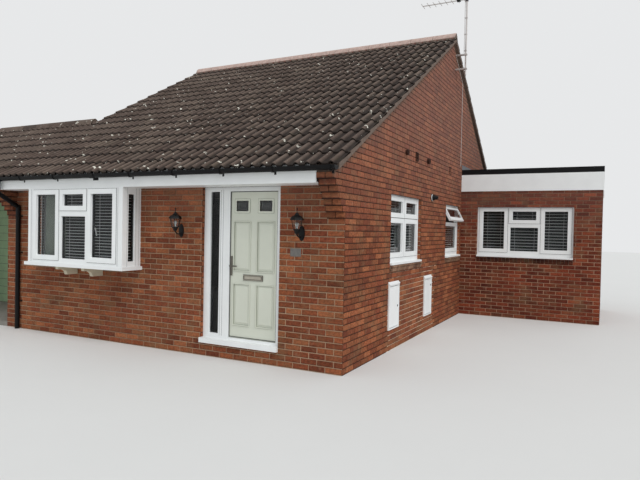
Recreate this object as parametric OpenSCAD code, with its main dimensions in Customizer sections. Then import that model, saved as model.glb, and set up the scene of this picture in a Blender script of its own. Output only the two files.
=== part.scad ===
// Bungalow with a side garage under a lower roof and a flat roofed extension.
// Millimetres, +Z up. Origin at the front right corner of the main house,
// on the ground. X runs along the front, Y runs to the back.

/* [Main house] */
// Width of the main house along the front
house_w = 6225; // [5400:75:7500]
// Depth of the main house, front wall to back wall
house_d = 9525; // [8400:75:10800]
// Thickness of the outside walls
wall_t = 275; // [225:5:350]
// Height of one course of bricks with its joint
course = 75; // [65:5:85]
// Height of the inside floor above the ground
floor_z = 225; // [150:75:300]
// Height of the underside of the ceiling
ceiling_z = 2475; // [2400:25:2700]
// Thickness of the ceiling
ceiling_t = 100; // [80:10:150]

/* [Main roof] */
// How far the tiles reach past the front and back walls
eave_over = 390; // [300:10:450]
// Height of the roof at its front edge, below the rolls of the tiles
eave_z = 2500; // [2475:5:2600]
// Distance of the ridge from the front wall
ridge_y = 5000; // [4500:25:5500]
// Height of the roof at the ridge
ridge_z = 5590; // [5200:5:6000]
// Upright depth of the roof, tiles and rafters
roof_t = 160; // [120:5:200]
// Thickness of the tiles alone at the eaves
tile_t = 32; // [24:2:40]
// How far the roof reaches past the gable walls
verge_over = 60; // [40:5:100]
// How much further it reaches over the lower roof
low_verge_more = 15; // [10:1:30]
// Half the width of a ridge tile
ridge_half = 125; // [100:5:150]
// Half the width of the flat top of a ridge tile
ridge_crown = 50; // [30:5:70]
// Height of the shoulders of a ridge tile
ridge_shoulder = 32; // [20:2:45]
// Length of a ridge tile, about
ridge_long = 450; // [300:10:500]
// Width of a joint between ridge tiles
ridge_joint = 6; // [3:1:12]
// Height of a ridge tile over the tiles below
ridge_rise = 70; // [50:5:90]
// Step in from the side at the shoulder of a ridge tile
ridge_step = 25; // [20:5:40]

/* [Eaves] */
// Underside of the soffit boards and of the front fascia
soffit_z = 2280; // [2250:5:2310]
// Thickness of the soffit boards
soffit_t = 12; // [9:1:18]
// Thickness of the fascia boards
fascia_t = 22; // [18:1:30]
// Front face of the fascia, out from the wall
fascia_y = 340; // [300:5:380]
// Outside radius of the gutter
gutter_r = 55; // [50:1:60]
// Wall of the gutter and pipes
gutter_wall = 4; // [3:1:5]
// Distance of the rim of the gutter below the tiles
gutter_drop = 1; // [0.5:0.5:15]
// Outside radius of the downpipe
pipe_r = 36; // [30:1:38]
// Radius of the sockets where the pipe bends
socket_r = 41; // [39:1:50]
// Fall of the slanted pipe against its reach
pipe_fall = 0.6; // [0.4:0.1:1]
// Distance from the left corner of the house to the downpipe
pipe_x = 310; // [275:5:400]
// Gap left between round pieces and what carries them
fit_gap = 0.3; // [0.2:0.1:0.5]
// How far a cut runs past the face that it opens
cut_past = 1; // [0.5:0.5:3]

/* [Stepped brick corbels] */
// Width of a corbel along the front
corbel_w = 225; // [215:5:235]
// Courses of brick below the lowest step
corbel_courses = 25; // [24:1:26]
// Number of steps
corbel_steps = 7; // [5:1:7]
// How far the lowest step comes out
corbel_first = 25; // [20:5:40]
// How far each next step comes out
corbel_step = 50; // [40:5:55]

/* [Front door set] */
// Left side of the door set, from the right corner
door_x0 = -2120; // [-2200:5:-2050]
// Right side of the door set
door_x1 = -893; // [-950:1:-850]
// Underside of the sill below the door
door_sill_z = 185; // [150:5:225]
// Height of the sill below the door
door_sill_h = 65; // [50:5:75]
// How far the sill comes out of the wall
door_sill_out = 45; // [30:5:60]
// Set back of every frame from the wall face
reveal = 50; // [30:5:90]
// Depth of the door frame
frame_d = 70; // [60:5:80]
// Width of the frame beside the hinges
jamb_w = 67; // [60:1:80]
// Width of the frame left of the side light glass
side_edge = 98; // [80:1:110]
// Width of the frame between side light and door
mullion_w = 170; // [150:1:190]
// Height of the frame over the door
door_head_h = 55; // [45:1:70]
// How far the leaf passes behind the rim of its frame
leaf_lap = 10; // [8:1:14]
// Depth of the rim in front of the leaf
lip_d = 12; // [10:1:13]
// Width of the side light glass
side_w = 152; // [120:2:200]
// Height of the frame below the door
threshold_h = 30; // [20:5:40]
// Gap round the door leaf
leaf_gap = 8; // [6:1:10]
// Set back of the leaf from the front of its frame
leaf_back = 20; // [10:5:30]
// Thickness of the door leaf
leaf_t = 48; // [44:1:55]
// Width of the small panes in the door
pane_w = 177; // [150:1:190]
// Height of the small panes in the door
pane_h = 127; // [110:1:150]
// Distance of the small panes from the top of the leaf
pane_top = 130; // [100:5:160]
// Distance between the two small panes
pane_apart = 188; // [160:2:220]
// Width of the raised rim round a small pane
pane_rim = 30; // [20:1:40]
// How far that rim stands out from the leaf
pane_proud = 6; // [3:1:7]
// How far the moulded panels are wider than the panes, each side
panel_more = 45; // [30:5:60]
// Foot of the lower panels of the door
low_panel_z = 450; // [390:10:510]
// Height of the lower panels
low_panel_h = 555; // [480:5:630]
// Foot of the upper panels of the door
high_panel_z = 1170; // [1110:10:1230]
// Height of the upper panels
high_panel_h = 660; // [600:10:690]
// Width of the groove round a panel
panel_edge = 22; // [15:1:30]
// Width of the slope inside that groove
panel_slope = 22; // [12:1:30]
// Depth of the groove
panel_deep = 8; // [5:1:12]

// Distance of the handle from the edge of the opening
handle_in = 25; // [24:1:32]
// Width of the plate of the handle
handle_plate = 32; // [26:2:40]
// Length of the plate of the handle
handle_h = 260; // [220:4:280]
// Height of the lever above the ground
handle_z = 1236; // [1150:2:1300]
// Thickness of the lever
handle_bar = 18; // [14:1:22]
// Length of the lever
handle_l = 115; // [100:5:130]
// How far the lever stands out from the leaf
handle_out = 55; // [45:5:65]
// Width of the letter plate
letter_w = 300; // [250:5:330]
// Height of the letter plate
letter_h = 70; // [60:2:90]
// Height of the middle of the letter plate
letter_z = 1091; // [1000:4:1250]
// How far the letter plate stands out
letter_out = 12; // [8:1:16]

// Radius of the pins of the hinges
pin_r = 4; // [3:0.5:5]
// Radius of the hinge knuckles
knuckle_r = 6.5; // [6:0.5:7]
// Height of a hinge
hinge_h = 100; // [80:5:120]
// Width of a hinge flap
hinge_flap = 35; // [30:1:40]
// Thickness of a hinge flap
hinge_t = 3; // [2.5:0.5:3]
// Height of the middle knuckle of a hinge
knuckle_h = 44; // [36:2:60]
// Space between a knuckle and the strip behind it
hinge_clear = 2; // [1:0.5:3]
// Play of the middle knuckle between the outer two
knuckle_play = 1; // [0.5:0.5:2]
// How much thicker the flap on the leaf is than the one on the frame
flap_more = 1; // [0.5:0.5:2]
// Distance of the hinges from the ends of the leaf
hinge_in = 250; // [150:10:300]

/* [Bay window] */
// Distance from the left corner of the house to the bay
bay_in = 1000; // [925:5:1075]
// Width of the bay
bay_w = 1990; // [1900:10:2100]
// How far the bay comes out of the wall
bay_out = 350; // [300:10:400]
// Top of the sill of the bay
bay_sill_z = 1160; // [1125:5:1200]
// Thickness of the sill of the bay
bay_sill_t = 50; // [40:5:60]
// How far the sill passes the bay
bay_sill_out = 40; // [30:5:60]
// Width of the corner posts
bay_post = 110; // [80:5:130]
// Width of the corner posts seen from the side
bay_side_post = 110; // [90:5:130]
// Width of the side frames beside the wall
bay_side_back = 120; // [90:5:140]
// Height of the bay frame over its glass
bay_head = 90; // [80:5:120]
// Depth of the bay frame members
bay_frame_d = 70; // [60:5:80]
// Thickness of the brackets below the sill
bracket_w = 60; // [50:5:80]
// Height of the brackets
bracket_h = 130; // [110:5:150]
// Distance between the brackets
bracket_apart = 550; // [450:10:700]

/* [Windows] */
// Width of an outer window frame with its casement
win_edge = 110; // [95:5:130]
// Width of the frame between two opening lights
win_mid = 160; // [150:5:180]
// Height of the frame over the glass of a window
win_top = 85; // [78:1:110]
// Height of the frame below the glass of a window
win_low = 140; // [110:5:160]
// How much closer a fixed light comes to its frame, each side
fixed_more = 40; // [20:5:50]
// Depth of window frames
win_d = 70; // [60:5:80]
// Thickness of sealed glass units
glass_t = 24; // [20:1:28]
// Top of the window openings
win_head = 2280; // [2250:5:2300]
// Underside of the window openings
win_foot = 1275; // [1200:75:1350]
// Thickness of the white sills
sill_t = 30; // [25:5:40]
// How far the white sills come out of the wall
sill_out = 30; // [20:5:40]
// Height of the sloping brick sills
brick_sill_h = 100; // [75:5:125]
// How far the brick sills come out of the wall
brick_sill_out = 25; // [20:5:40]
// Fall of a sloping sill
sill_fall = 20; // [10:5:30]

/* [Gable windows] */
// Front side of the first gable window
gw1_y0 = 1590; // [1500:10:1700]
// Back side of the first gable window
gw1_y1 = 3080; // [3000:10:3200]
// Front side of the second gable window
gw2_y0 = 4715; // [4650:5:4800]
// Back side of the second gable window
gw2_y1 = 5900; // [5800:5:5925]
// Height of the bar between the upper and lower lights
transom_z = 1940; // [1900:10:2000]
// Height of the bar itself
transom_h = 150; // [150:5:180]
// Width of the frame of an opening light
sash_w = 70; // [60:1:74]
// How far a closed opening light stands in front of its frame
sash_proud = 10; // [6:1:14]
// Thickness of the frame of the open top light
sash_t = 45; // [35:5:55]
// Gap round the open top light
sash_gap = 4; // [3:1:6]
// Angle of the open top light
vent_angle = 28; // [0:1:35]

/* [Extension] */
// Width of the extension along its front
ext_w = 2700; // [2400:75:3600]
// Front wall of the extension, from the front of the house
ext_y0 = 6000; // [5975:5:6100]
// Gap between the edge trim of the extension and the verge over its back
ext_clear = 34; // [20:2:200]
// Underside of the fascia of the extension
ext_fascia_z = 2611; // [2590:1:2650]
// Top of the fascia of the extension
ext_fascia_top = 2960; // [2900:5:3000]
// Underside of the flat roof
ext_roof_z = 2700; // [2670:5:2750]
// Height of the black edge trim
trim_h = 110; // [80:5:130]
// Width of the black edge trim
trim_w = 60; // [50:5:80]
// Left side of the window of the extension
ext_win_x0 = 347; // [300:1:400]
// Right side of the window of the extension
ext_win_x1 = 2210; // [2100:5:2300]
// Distance of the doorway to the extension behind the middle of that room
link_shift = 25; // [-150:5:150]
// Width of the doorway between house and extension
link_w = 900; // [800:10:1000]
// Top of the doorway between house and extension
link_head = 2265; // [2100:5:2300]

/* [Garage] */
// Width of the garage under the lower roof
garage_w = 3000; // [2700:75:3600]
// Depth of the garage and its covered front
garage_d = 3700; // [3500:50:4200]
// Distance of the garage door from the front of the house
garage_y = 1500; // [1200:50:1600]
// Distance of the lower ridge from the front wall
low_ridge_y = 1850; // [1800:10:2000]
// Thickness of the garage walls
garage_t = 225; // [215:5:275]
// Width of the garage door
garage_door_w = 2400; // [2130:10:2440]
// Height of the garage door
garage_door_h = 2100; // [1980:10:2200]
// Thickness of the garage door
garage_door_t = 45; // [35:5:60]
// Number of boards of the garage door
boards = 13; // [9:1:20]
// Height of the grooves between the boards
groove_h = 8; // [4:1:12]
// Depth of the grooves between the boards
groove_d = 6; // [3:1:10]
// Depth of the post each side of the garage door
garage_post = 45; // [35:5:60]
// Height of the garage floor
garage_floor_z = 75; // [50:5:100]

/* [Back windows] */
// Left side of the first back window, from the right corner
back_win_x = 1200; // [900:10:1500]
// Width of the back windows
back_win_w = 1490; // [1200:10:1600]
// Distance between the back windows
back_win_apart = 900; // [700:10:1200]

/* [Meter boxes] */
// Front side of the first meter box
meter1_y = 1540; // [1500:5:1580]
// Underside of the first meter box
meter1_z = 310; // [250:5:350]
// Front side of the second meter box
meter2_y = 3310; // [3250:5:3400]
// Underside of the second meter box
meter2_z = 285; // [250:5:350]
// Width of the meter boxes
meter_w = 450; // [400:5:500]
// Height of the meter boxes
meter_h = 650; // [600:5:700]
// Depth of the boxes inside the wall
meter_in = 150; // [120:5:180]
// How far the boxes come out of the wall
meter_out = 22; // [15:1:30]
// Thickness of the shell of a box
meter_shell = 8; // [6:1:12]
// Thickness of the doors of the boxes
meter_door_t = 12; // [10:1:16]
// Gap round the doors of the boxes
meter_gap = 9; // [9:1:12]
// Width of the rim round a meter door
meter_rim = 20; // [18:1:30]
// Height of the sloping hood over a meter box
hood_h = 45; // [30:5:60]
// How far the nose of the hood stands out from the box
hood_out = 10; // [5:1:15]
// Height of the nose of the hood
hood_nose = 8; // [4:1:12]
// Radius of the pins a meter door turns on
meter_pin_r = 2.5; // [2:0.5:3]
// Distance of the pins from the edge of the door
meter_pin_in = 3.5; // [3:0.5:4]

/* [Wall fittings] */
// Distance of the left lantern from the right corner
lantern_x0 = -2480; // [-2600:10:-2400]
// Distance of the right lantern from the right corner
lantern_x1 = -580; // [-650:10:-500]
// Height of the middle of the wall plates of the lanterns
lantern_z = 1690; // [1650:5:1750]
// Height of the glass body of a lantern
lantern_h = 110; // [90:5:150]
// Width of the glass body of a lantern at its top
lantern_w = 145; // [120:5:160]
// Width of the glass body at its foot
lantern_foot = 98; // [80:2:110]
// Width of the roof of a lantern
lantern_roof_w = 180; // [165:5:200]
// Height of the roof of a lantern
lantern_roof_h = 62; // [50:2:80]
// Width of the top of that roof
lantern_top_w = 64; // [50:2:80]
// Height of the knob and the rod on the roof
finial_h = 88; // [60:2:100]
// Radius of the rod
finial_r = 5; // [4:0.5:7]
// Height of the cup below the glass
cup_h = 50; // [40:2:60]
// Thickness of the bars between the panes of a lantern
lantern_bar = 9; // [6:1:12]
// Set back of the panes behind those bars
lantern_deep = 3; // [2:0.5:4]
// Width of the wall plate of a lantern
lantern_plate_w = 90; // [70:5:110]
// Height of the wall plate of a lantern
lantern_plate_h = 190; // [160:5:210]
// Thickness of the wall plate of a lantern
lantern_plate_t = 16; // [10:1:20]
// Radius of the arm of a lantern
arm_r = 9; // [7:1:12]
// Distance of the middle of a lantern from the wall
lantern_out = 130; // [110:5:150]
// Width of the house number plate
plate_w = 150; // [120:5:200]
// Height of the house number plate
plate_h = 100; // [80:5:150]
// Distance of the number plate from the right corner
plate_x = -660; // [-700:5:-600]
// Height of the middle of the number plate
plate_z = 1451; // [1400:1:1500]
// Thickness of the number plate
plate_t = 8; // [6:1:12]
// Height of the small vents in the gable
vent_z = 2950; // [2900:5:3000]
// Depth of the small vents
vent_d = 45; // [30:5:60]
// Width of the small vents
vent_w = 110; // [90:5:130]

// Distance of the first small vent from the front
vent_y = 2210; // [2100:10:2400]
// Distance between the first and the second small vent
vent_apart = 1175; // [1000:5:1300]
// Distance of the slim vent from the extension
vent_last = 1040; // [900:10:1100]
// Height of the slim vent
slim_h = 150; // [120:5:180]
// Depth of the slim vent
slim_d = 12; // [8:1:20]
// Distance of the tall vent from the front
vent_tall_y = 2750; // [2600:10:2900]
// Distance of the security light from the front
lamp_y = 3690; // [3600:10:3900]
// Height of the security light
lamp_z = 2345; // [2250:5:2450]
// Radius of the wall ring of the security light
lamp_r = 65; // [55:5:80]
// Radius of the light in front of its ring
lamp_body_r = 56; // [45:1:60]
// Radius of the front of the security light
lamp_tip_r = 22; // [15:1:35]
// Thickness of the wall ring
lamp_ring = 16; // [10:1:20]
// How far the security light stands out
lamp_out = 120; // [90:10:150]

/* [Aerial] */
// Distance of the mast behind the ridge
mast_back = 200; // [150:10:260]
// Distance of the mast from the gable
mast_x = 200; // [150:5:250]
// Radius of the mast
mast_r = 16; // [12:1:20]
// Top of the mast over the ridge
mast_rise = 830; // [600:10:1000]
// Foot of the mast below the roof that passes over its upper bracket
mast_drop = 391; // [290:10:450]
// Height of the lower bracket over the foot of the mast
bracket_rise = 110; // [60:5:140]
// Distance between the two brackets of the mast
bracket_gap = 280; // [200:5:300]
// Thickness of the brackets of the mast
bracket_t = 24; // [16:1:30]
// Radius of the cable of the aerial
cable_r = 5; // [3:0.5:6]
// Radius of the clips at the ends and the bend of the cable
clip_r = 7; // [6:0.5:9]
// Distance of the upright stretch of the cable behind the mast
cable_back = 640; // [400:10:700]
// Height of the end of the cable over the extension
cable_rise = 70; // [40:5:150]
// Length of the aerial
boom_l = 900; // [700:10:1100]
// Number of rods across the boom
boom_rods = 8; // [5:1:12]
// Length of the rods
rod_l = 260; // [200:10:320]
// Thickness of the boom of the aerial
boom_t = 16; // [12:1:20]

/* [Hidden] */
$fn = 32;
slope_f = (ridge_z - eave_z) / (ridge_y + eave_over);
wall_top = eave_z + eave_over * slope_f;
slope_r = (ridge_z - wall_top) / (house_d - ridge_y);
inner = wall_t;
gutter_z = eave_z - tile_t - gutter_drop;
back_gutter_z = wall_top - eave_over * slope_r - tile_t - gutter_drop;
left = -house_w;
low_z = wall_top + low_ridge_y * slope_f;
back_in = house_d - wall_t;
ext_y1 = ridge_y - fascia_t
    + (ridge_z - roof_t - ext_fascia_top - trim_h - ext_clear) / slope_r;
link_y0 = (ext_y0 + ext_y1 - link_w) / 2 + link_shift;
garage_left = left - garage_w;
garage_door_x0 = left - (garage_w - garage_t + garage_door_w) / 2;
mast_y = ridge_y + mast_back;
mast_top = ridge_z + mast_rise;
mast_foot = under_r(mast_y + mast_r + bracket_t / 2) - bracket_t - mast_drop;
bracket_z = mast_foot + bracket_rise;
boom_z = mast_top - mast_r * 4;
boom_step = (boom_l - mast_r * 4) / (boom_rods - 1);
vent_ys = [vent_y, vent_y + vent_apart];
low_verge = verge_over + low_verge_more;
board_back = fascia_y - fascia_t;
gutter_y = fascia_y + gutter_r + fit_gap;
frame_z0 = door_sill_z + door_sill_h;
side_x0 = door_x0 + side_edge;
hole_x0 = side_x0 + side_w + mullion_w;
hole_x1 = door_x1 - jamb_w;
hole_z0 = frame_z0 + threshold_h;
hole_z1 = soffit_z - door_head_h;
leaf_x0 = hole_x0 - leaf_lap;
leaf_x1 = hole_x1 + leaf_lap;
leaf_z0 = hole_z0 - leaf_lap + leaf_gap;
leaf_z1 = hole_z1 + leaf_lap;
leaf_y = reveal + leaf_back;
leaf_mid = (leaf_x0 + leaf_x1) / 2;
pane_lefts = [leaf_mid - pane_apart / 2 - pane_w, leaf_mid + pane_apart / 2];
pane_foot = leaf_z1 - leaf_lap - pane_top - pane_h;
hinge_x = leaf_x1 + leaf_gap / 2;
hinge_y = reveal + frame_d + knuckle_r + fit_gap * 2;
hinge_zs = [leaf_z0 + hinge_in, leaf_z1 - hinge_in];
hinge_mid = knuckle_h / 2;
back_lefts = [-back_win_x - back_win_w, -back_win_x - back_win_w * 2 - back_win_apart];

// Height of the tiles over the front and over the back
function top_f(y) = wall_top + y * slope_f;
function top_r(y) = ridge_z - (y - ridge_y) * slope_r;
function low_r(y) = low_z - (y - low_ridge_y) * slope_f;

// Height of the tops of the walls that carry those slopes
function under_f(y) = top_f(y) - roof_t - fit_gap;
function under_r(y) = top_r(y) - roof_t - fit_gap;
function under_low(y) = low_r(y) - roof_t - fit_gap;

module box(x0, x1, y0, y1, z0, z1) {
    translate([x0, y0, z0]) cube([x1 - x0, y1 - y0, z1 - z0]);
}

// A shape drawn in Y and Z, run along X
module run_x(x0, x1, shape) {
    translate([x0, 0, 0]) rotate([90, 0, 90]) linear_extrude(x1 - x0) polygon(shape);
}

// A window seen from the front: a slab with a hole for each light, and a
// frame that stands out round each of the opening lights, named in sashes.
// Each light is [left, right, foot, head] of its glass.
module frame_of(x0, x1, y0, depth, z0, z1, lights, sashes = []) {
    difference() {
        union() {
            box(x0, x1, y0, y0 + depth, z0, z1);
            for (g = sashes)
                box(g[0] - sash_w, g[1] + sash_w, y0 - sash_proud, y0 + depth, g[2] - sash_w,
                    g[3] + sash_w);
        }
        for (g = lights)
            box(g[0], g[1], y0 - sash_proud - cut_past, y0 + depth + cut_past, g[2], g[3]);
    }
}

module panes_of(y0, depth, lights) {
    for (g = lights)
        box(g[0], g[1], y0 + (depth - glass_t) / 2, y0 + (depth + glass_t) / 2, g[2], g[3]);
}

// Turns a window drawn along X to face out of the right gable
module on_gable() {
    rotate([0, 0, 90]) children();
}

// Ground floors of house, extension and garage
module floor_slabs() {
    color([0.62, 0.6, 0.57]) {
        box(left + inner, -inner, inner, back_in, 0, floor_z);
        box(0, ext_w - wall_t, ext_y0 + wall_t, ext_y1 - wall_t, 0, floor_z);
        box(garage_left + garage_t, left, 0, garage_d - garage_t, 0, garage_floor_z);
    }
}

// Front wall, in pieces round the door and the bay
module front_wall_piece(x0, x1, z0) {
    run_x(x0, x1, [[0, z0], [inner, z0], [inner, under_f(inner)], [0, under_f(0)]]);
}

module front_wall() {
    color([0.6, 0.3, 0.22]) {
        difference() {
            front_wall_piece(left + inner, door_x0, 0);
            box(bay_x0 + bay_post, bay_x0 + bay_w - bay_post, -cut_past, inner + cut_past,
                bay_sill_z - bay_sill_t, soffit_z);
        }
        front_wall_piece(door_x1, -inner, 0);
    }
}

// Brick over the door set and brick below its sill
module front_wall_at_door() {
    color([0.6, 0.3, 0.22]) {
        front_wall_piece(door_x0, door_x1, soffit_z);
        box(door_x0, door_x1, 0, inner, 0, door_sill_z);
    }
}

// Steps of brick that carry the ends of the eaves, drawn at the front and
// cut along the underside of the roof
module corbel(x0, slope) {
    deep = corbel_first + corbel_step * (corbel_steps - 1);
    top = under_f(0);
    intersection() {
        for (i = [0 : corbel_steps - 1]) {
            low = course * (corbel_courses + i);
            box(x0, x0 + corbel_w, -corbel_first - corbel_step * i, 0, low,
                i < corbel_steps - 1 ? low + course : top);
        }
        run_x(x0, x0 + corbel_w, [[-deep, 0], [0, 0], [0, top], [-deep, top - deep * slope]]);
    }
}

module gable(x0, x1, corbel_x) {
    run_x(x0, x1, [[0, 0], [house_d, 0], [house_d, under_r(house_d)],
        [ridge_y, under_f(ridge_y)], [0, under_f(0)]]);
    corbel(corbel_x, slope_f);
    translate([0, house_d, 0]) mirror([0, 1, 0]) corbel(corbel_x, slope_r);
}

module right_gable_wall() {
    color([0.6, 0.3, 0.22])
    difference() {
        gable(-inner, 0, -corbel_w);
        box(-inner - cut_past, cut_past, gw1_y0, gw1_y1, win_foot - sill_t, win_head);
        box(-inner - cut_past, cut_past, gw2_y0, gw2_y1, win_foot - sill_t, win_head);
        box(-inner - cut_past, cut_past, link_y0, link_y0 + link_w, floor_z, link_head);
        box(-meter_in, 1, meter1_y, meter1_y + meter_w, meter1_z, meter1_z + meter_h);
        box(-meter_in, 1, meter2_y, meter2_y + meter_w, meter2_z, meter2_z + meter_h);
    }
}

module left_gable_wall() {
    color([0.6, 0.3, 0.22])
    gable(left, left + inner, left);
}

module rear_wall() {
    color([0.6, 0.3, 0.22])
    difference() {
        run_x(left + inner, -inner, [[back_in, 0], [house_d, 0], [house_d, under_r(house_d)],
            [back_in, under_r(back_in)]]);
        for (x = back_lefts)
            box(x, x + back_win_w, back_in - cut_past, house_d + cut_past, win_foot - sill_t, win_head);
    }
}

module ceiling() {
    color([0.85, 0.84, 0.82])
    box(left + inner, -inner, inner, back_in, ceiling_z, ceiling_z + ceiling_t);
}

// Main roof: two slopes that meet under the ridge
module roof_front() {
    color([0.35, 0.3, 0.27])
    run_x(left - low_verge, verge_over, [[-eave_over, eave_z], [-eave_over, eave_z - tile_t],
        [-board_back, top_f(-board_back) - tile_t], [-board_back, top_f(-board_back) - roof_t],
        [ridge_y, ridge_z - roof_t], [ridge_y, ridge_z]]);
}

module roof_rear() {
    color([0.35, 0.3, 0.27])
    run_x(left - low_verge, verge_over, [[house_d + eave_over, top_r(house_d + eave_over)],
        [house_d + eave_over, top_r(house_d + eave_over) - tile_t],
        [house_d + board_back, top_r(house_d + board_back) - tile_t],
        [house_d + board_back, top_r(house_d + board_back) - roof_t],
        [ridge_y, ridge_z - roof_t], [ridge_y, ridge_z]]);
}

// Ridge tiles in a row, each bent over the two slopes below it
module ridge_row(x0, x1, y, z, fall_f, fall_r) {
    count = round((x1 - x0) / ridge_long);
    step = (x1 - x0 + ridge_joint) / count;
    for (i = [0 : count - 1])
        run_x(x0 + i * step, x0 + (i + 1) * step - ridge_joint,
            [[y - ridge_half, z - ridge_half * fall_f], [y, z],
            [y + ridge_half, z - ridge_half * fall_r],
            [y + ridge_half - ridge_step, z + ridge_shoulder],
            [y + ridge_crown, z + ridge_rise], [y - ridge_crown, z + ridge_rise],
            [y - ridge_half + ridge_step, z + ridge_shoulder]]);
}

module ridge_tiles() {
    color([0.6, 0.42, 0.35]) {
        ridge_row(left - low_verge - ridge_step, verge_over, ridge_y, ridge_z + fit_gap,
            slope_f, slope_r);
        ridge_row(garage_left, left - low_verge - fit_gap, low_ridge_y, low_z + fit_gap,
            slope_f, slope_f);
    }
}

// Boards of the eaves, front and back, between the corbels
module fascias() {
    color([0.93, 0.93, 0.92]) {
        box(left + corbel_w, -corbel_w, -fascia_y, -board_back, soffit_z,
            top_f(-fascia_y) - tile_t);
        box(left + corbel_w, -corbel_w, house_d + board_back, house_d + fascia_y, soffit_z,
            top_r(house_d + fascia_y) - tile_t);
        box(garage_left, left, -fascia_y, -board_back, soffit_z, top_f(-fascia_y) - tile_t);
    }
}

module soffits() {
    color([0.9, 0.9, 0.89]) {
        box(left + corbel_w, -corbel_w, -board_back, 0, soffit_z, soffit_z + soffit_t);
        box(left + corbel_w, -corbel_w, house_d, house_d + board_back, soffit_z,
            soffit_z + soffit_t);
        box(garage_left + garage_t, left, -board_back, garage_y, soffit_z,
            soffit_z + soffit_t);
    }
}

module gutter_run(x0, x1, y, z) {
    translate([x0, y, z]) rotate([0, 90, 0])
    difference() {
        cylinder(r = gutter_r, h = x1 - x0);
        translate([0, 0, gutter_wall])
        cylinder(r = gutter_r - gutter_wall, h = x1 - x0 - gutter_wall * 2);
        translate([-gutter_r * 2, -gutter_r, -cut_past])
            cube([gutter_r * 2, gutter_r * 2, x1 - x0 + cut_past * 2]);
    }
}

module gutters() {
    color([0.07, 0.07, 0.08]) {
        gutter_run(garage_left, verge_over, -gutter_y, gutter_z);
        gutter_run(left, verge_over, house_d + gutter_y, back_gutter_z);
    }
}

// A pipe from the gutter back to the wall and down to the ground
module pipe_run(rim_z) {
    bend_z = soffit_z - gutter_r;
    wall_y = socket_r + fit_gap;
    low_bend = bend_z - (gutter_y - wall_y) * pipe_fall;
    long = sqrt(pow(gutter_y - wall_y, 2) + pow(bend_z - low_bend, 2));
    tilt = atan2(gutter_y - wall_y, bend_z - low_bend);
    translate([0, -gutter_y, bend_z])
        cylinder(r = pipe_r, h = rim_z - gutter_r - fit_gap - bend_z);
    translate([0, -gutter_y, bend_z]) sphere(r = socket_r);
    translate([0, -wall_y, low_bend]) rotate([tilt, 0, 0]) cylinder(r = pipe_r, h = long);
    translate([0, -wall_y, low_bend]) sphere(r = socket_r);
    translate([0, -wall_y, 0]) cylinder(r = pipe_r, h = low_bend);
}

module downpipes() {
    color([0.07, 0.07, 0.08]) {
        translate([left + pipe_x, 0, 0]) pipe_run(gutter_z);
        translate([left + pipe_x, house_d, 0]) rotate([0, 0, 180]) pipe_run(back_gutter_z);
    }
}

// Bay window with square sides
bay_x0 = left + bay_in;
bay_x1 = bay_x0 + bay_w;
bay_glass_z0 = bay_sill_z + win_edge;
bay_glass_z1 = soffit_z - bay_head;
bay_third = (bay_w - 2 * bay_post) / 3;
function bay_left(i) = bay_x0 + bay_post + bay_third * i + win_mid / 2;
function bay_right(i) = bay_left(i) + bay_third - win_mid;
bay_sashes = [[bay_left(0), bay_right(0), bay_glass_z0, bay_glass_z1],
    [bay_left(2), bay_right(2), bay_glass_z0, bay_glass_z1],
    [bay_left(1), bay_right(1), transom_z + transom_h / 2, bay_glass_z1]];
bay_lights = concat(bay_sashes, [[bay_left(1) - fixed_more, bay_right(1) + fixed_more,
    bay_glass_z0 - fixed_more, transom_z - transom_h / 2]]);
bay_side_hole = [[bay_side_post - bay_out, -bay_side_back, bay_glass_z0 - fixed_more,
    bay_glass_z1]];

module bay_frame() {
    color([0.94, 0.94, 0.93]) {
        frame_of(bay_x0, bay_x1, -bay_out, bay_frame_d, bay_sill_z, soffit_z, bay_lights,
            bay_sashes);
        for (x = [bay_x0 + bay_frame_d, bay_x1])
            translate([x, 0, 0]) on_gable()
            frame_of(-bay_out + bay_frame_d, 0, 0, bay_frame_d, bay_sill_z, soffit_z,
                bay_side_hole);
    }
}

module bay_sill() {
    color([0.94, 0.94, 0.93]) {
        box(bay_x0 - bay_sill_out, bay_x1 + bay_sill_out, -bay_out - bay_sill_out, 0,
            bay_sill_z - bay_sill_t, bay_sill_z);
        box(bay_x0 + bay_post, bay_x1 - bay_post, 0, inner, bay_sill_z - bay_sill_t,
            bay_sill_z);
    }
}

module bay_brackets() {
    mid = (bay_x0 + bay_x1) / 2 - bracket_w;
    top = bay_sill_z - bay_sill_t;
    color([0.88, 0.85, 0.76])
    for (x = [mid - bracket_apart / 2, mid + bracket_apart / 2])
        run_x(x - bracket_w / 2, x + bracket_w / 2, [[0, top], [-bay_out, top],
            [-bay_out, top - bracket_h + sill_fall], [-bay_out + sill_fall, top - bracket_h],
            [0, top - bracket_h]]);
}

// Front door set: frame with side light, sill, leaf
module door_frame() {
    color([0.94, 0.94, 0.93])
    difference() {
        box(door_x0, door_x1, reveal, reveal + frame_d, frame_z0, soffit_z);
        box(side_x0, side_x0 + side_w, 0, inner, hole_z0 + threshold_h, hole_z1);
        box(hole_x0, hole_x1, 0, inner, hole_z0, hole_z1);
        box(leaf_x0 - leaf_gap, leaf_x1 + leaf_gap, reveal + lip_d, inner,
            leaf_z0 - leaf_gap, leaf_z1 + leaf_gap);
    }
}

module door_sill() {
    color([0.94, 0.94, 0.93])
    box(door_x0, door_x1, -door_sill_out, inner, door_sill_z, frame_z0);
}

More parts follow.
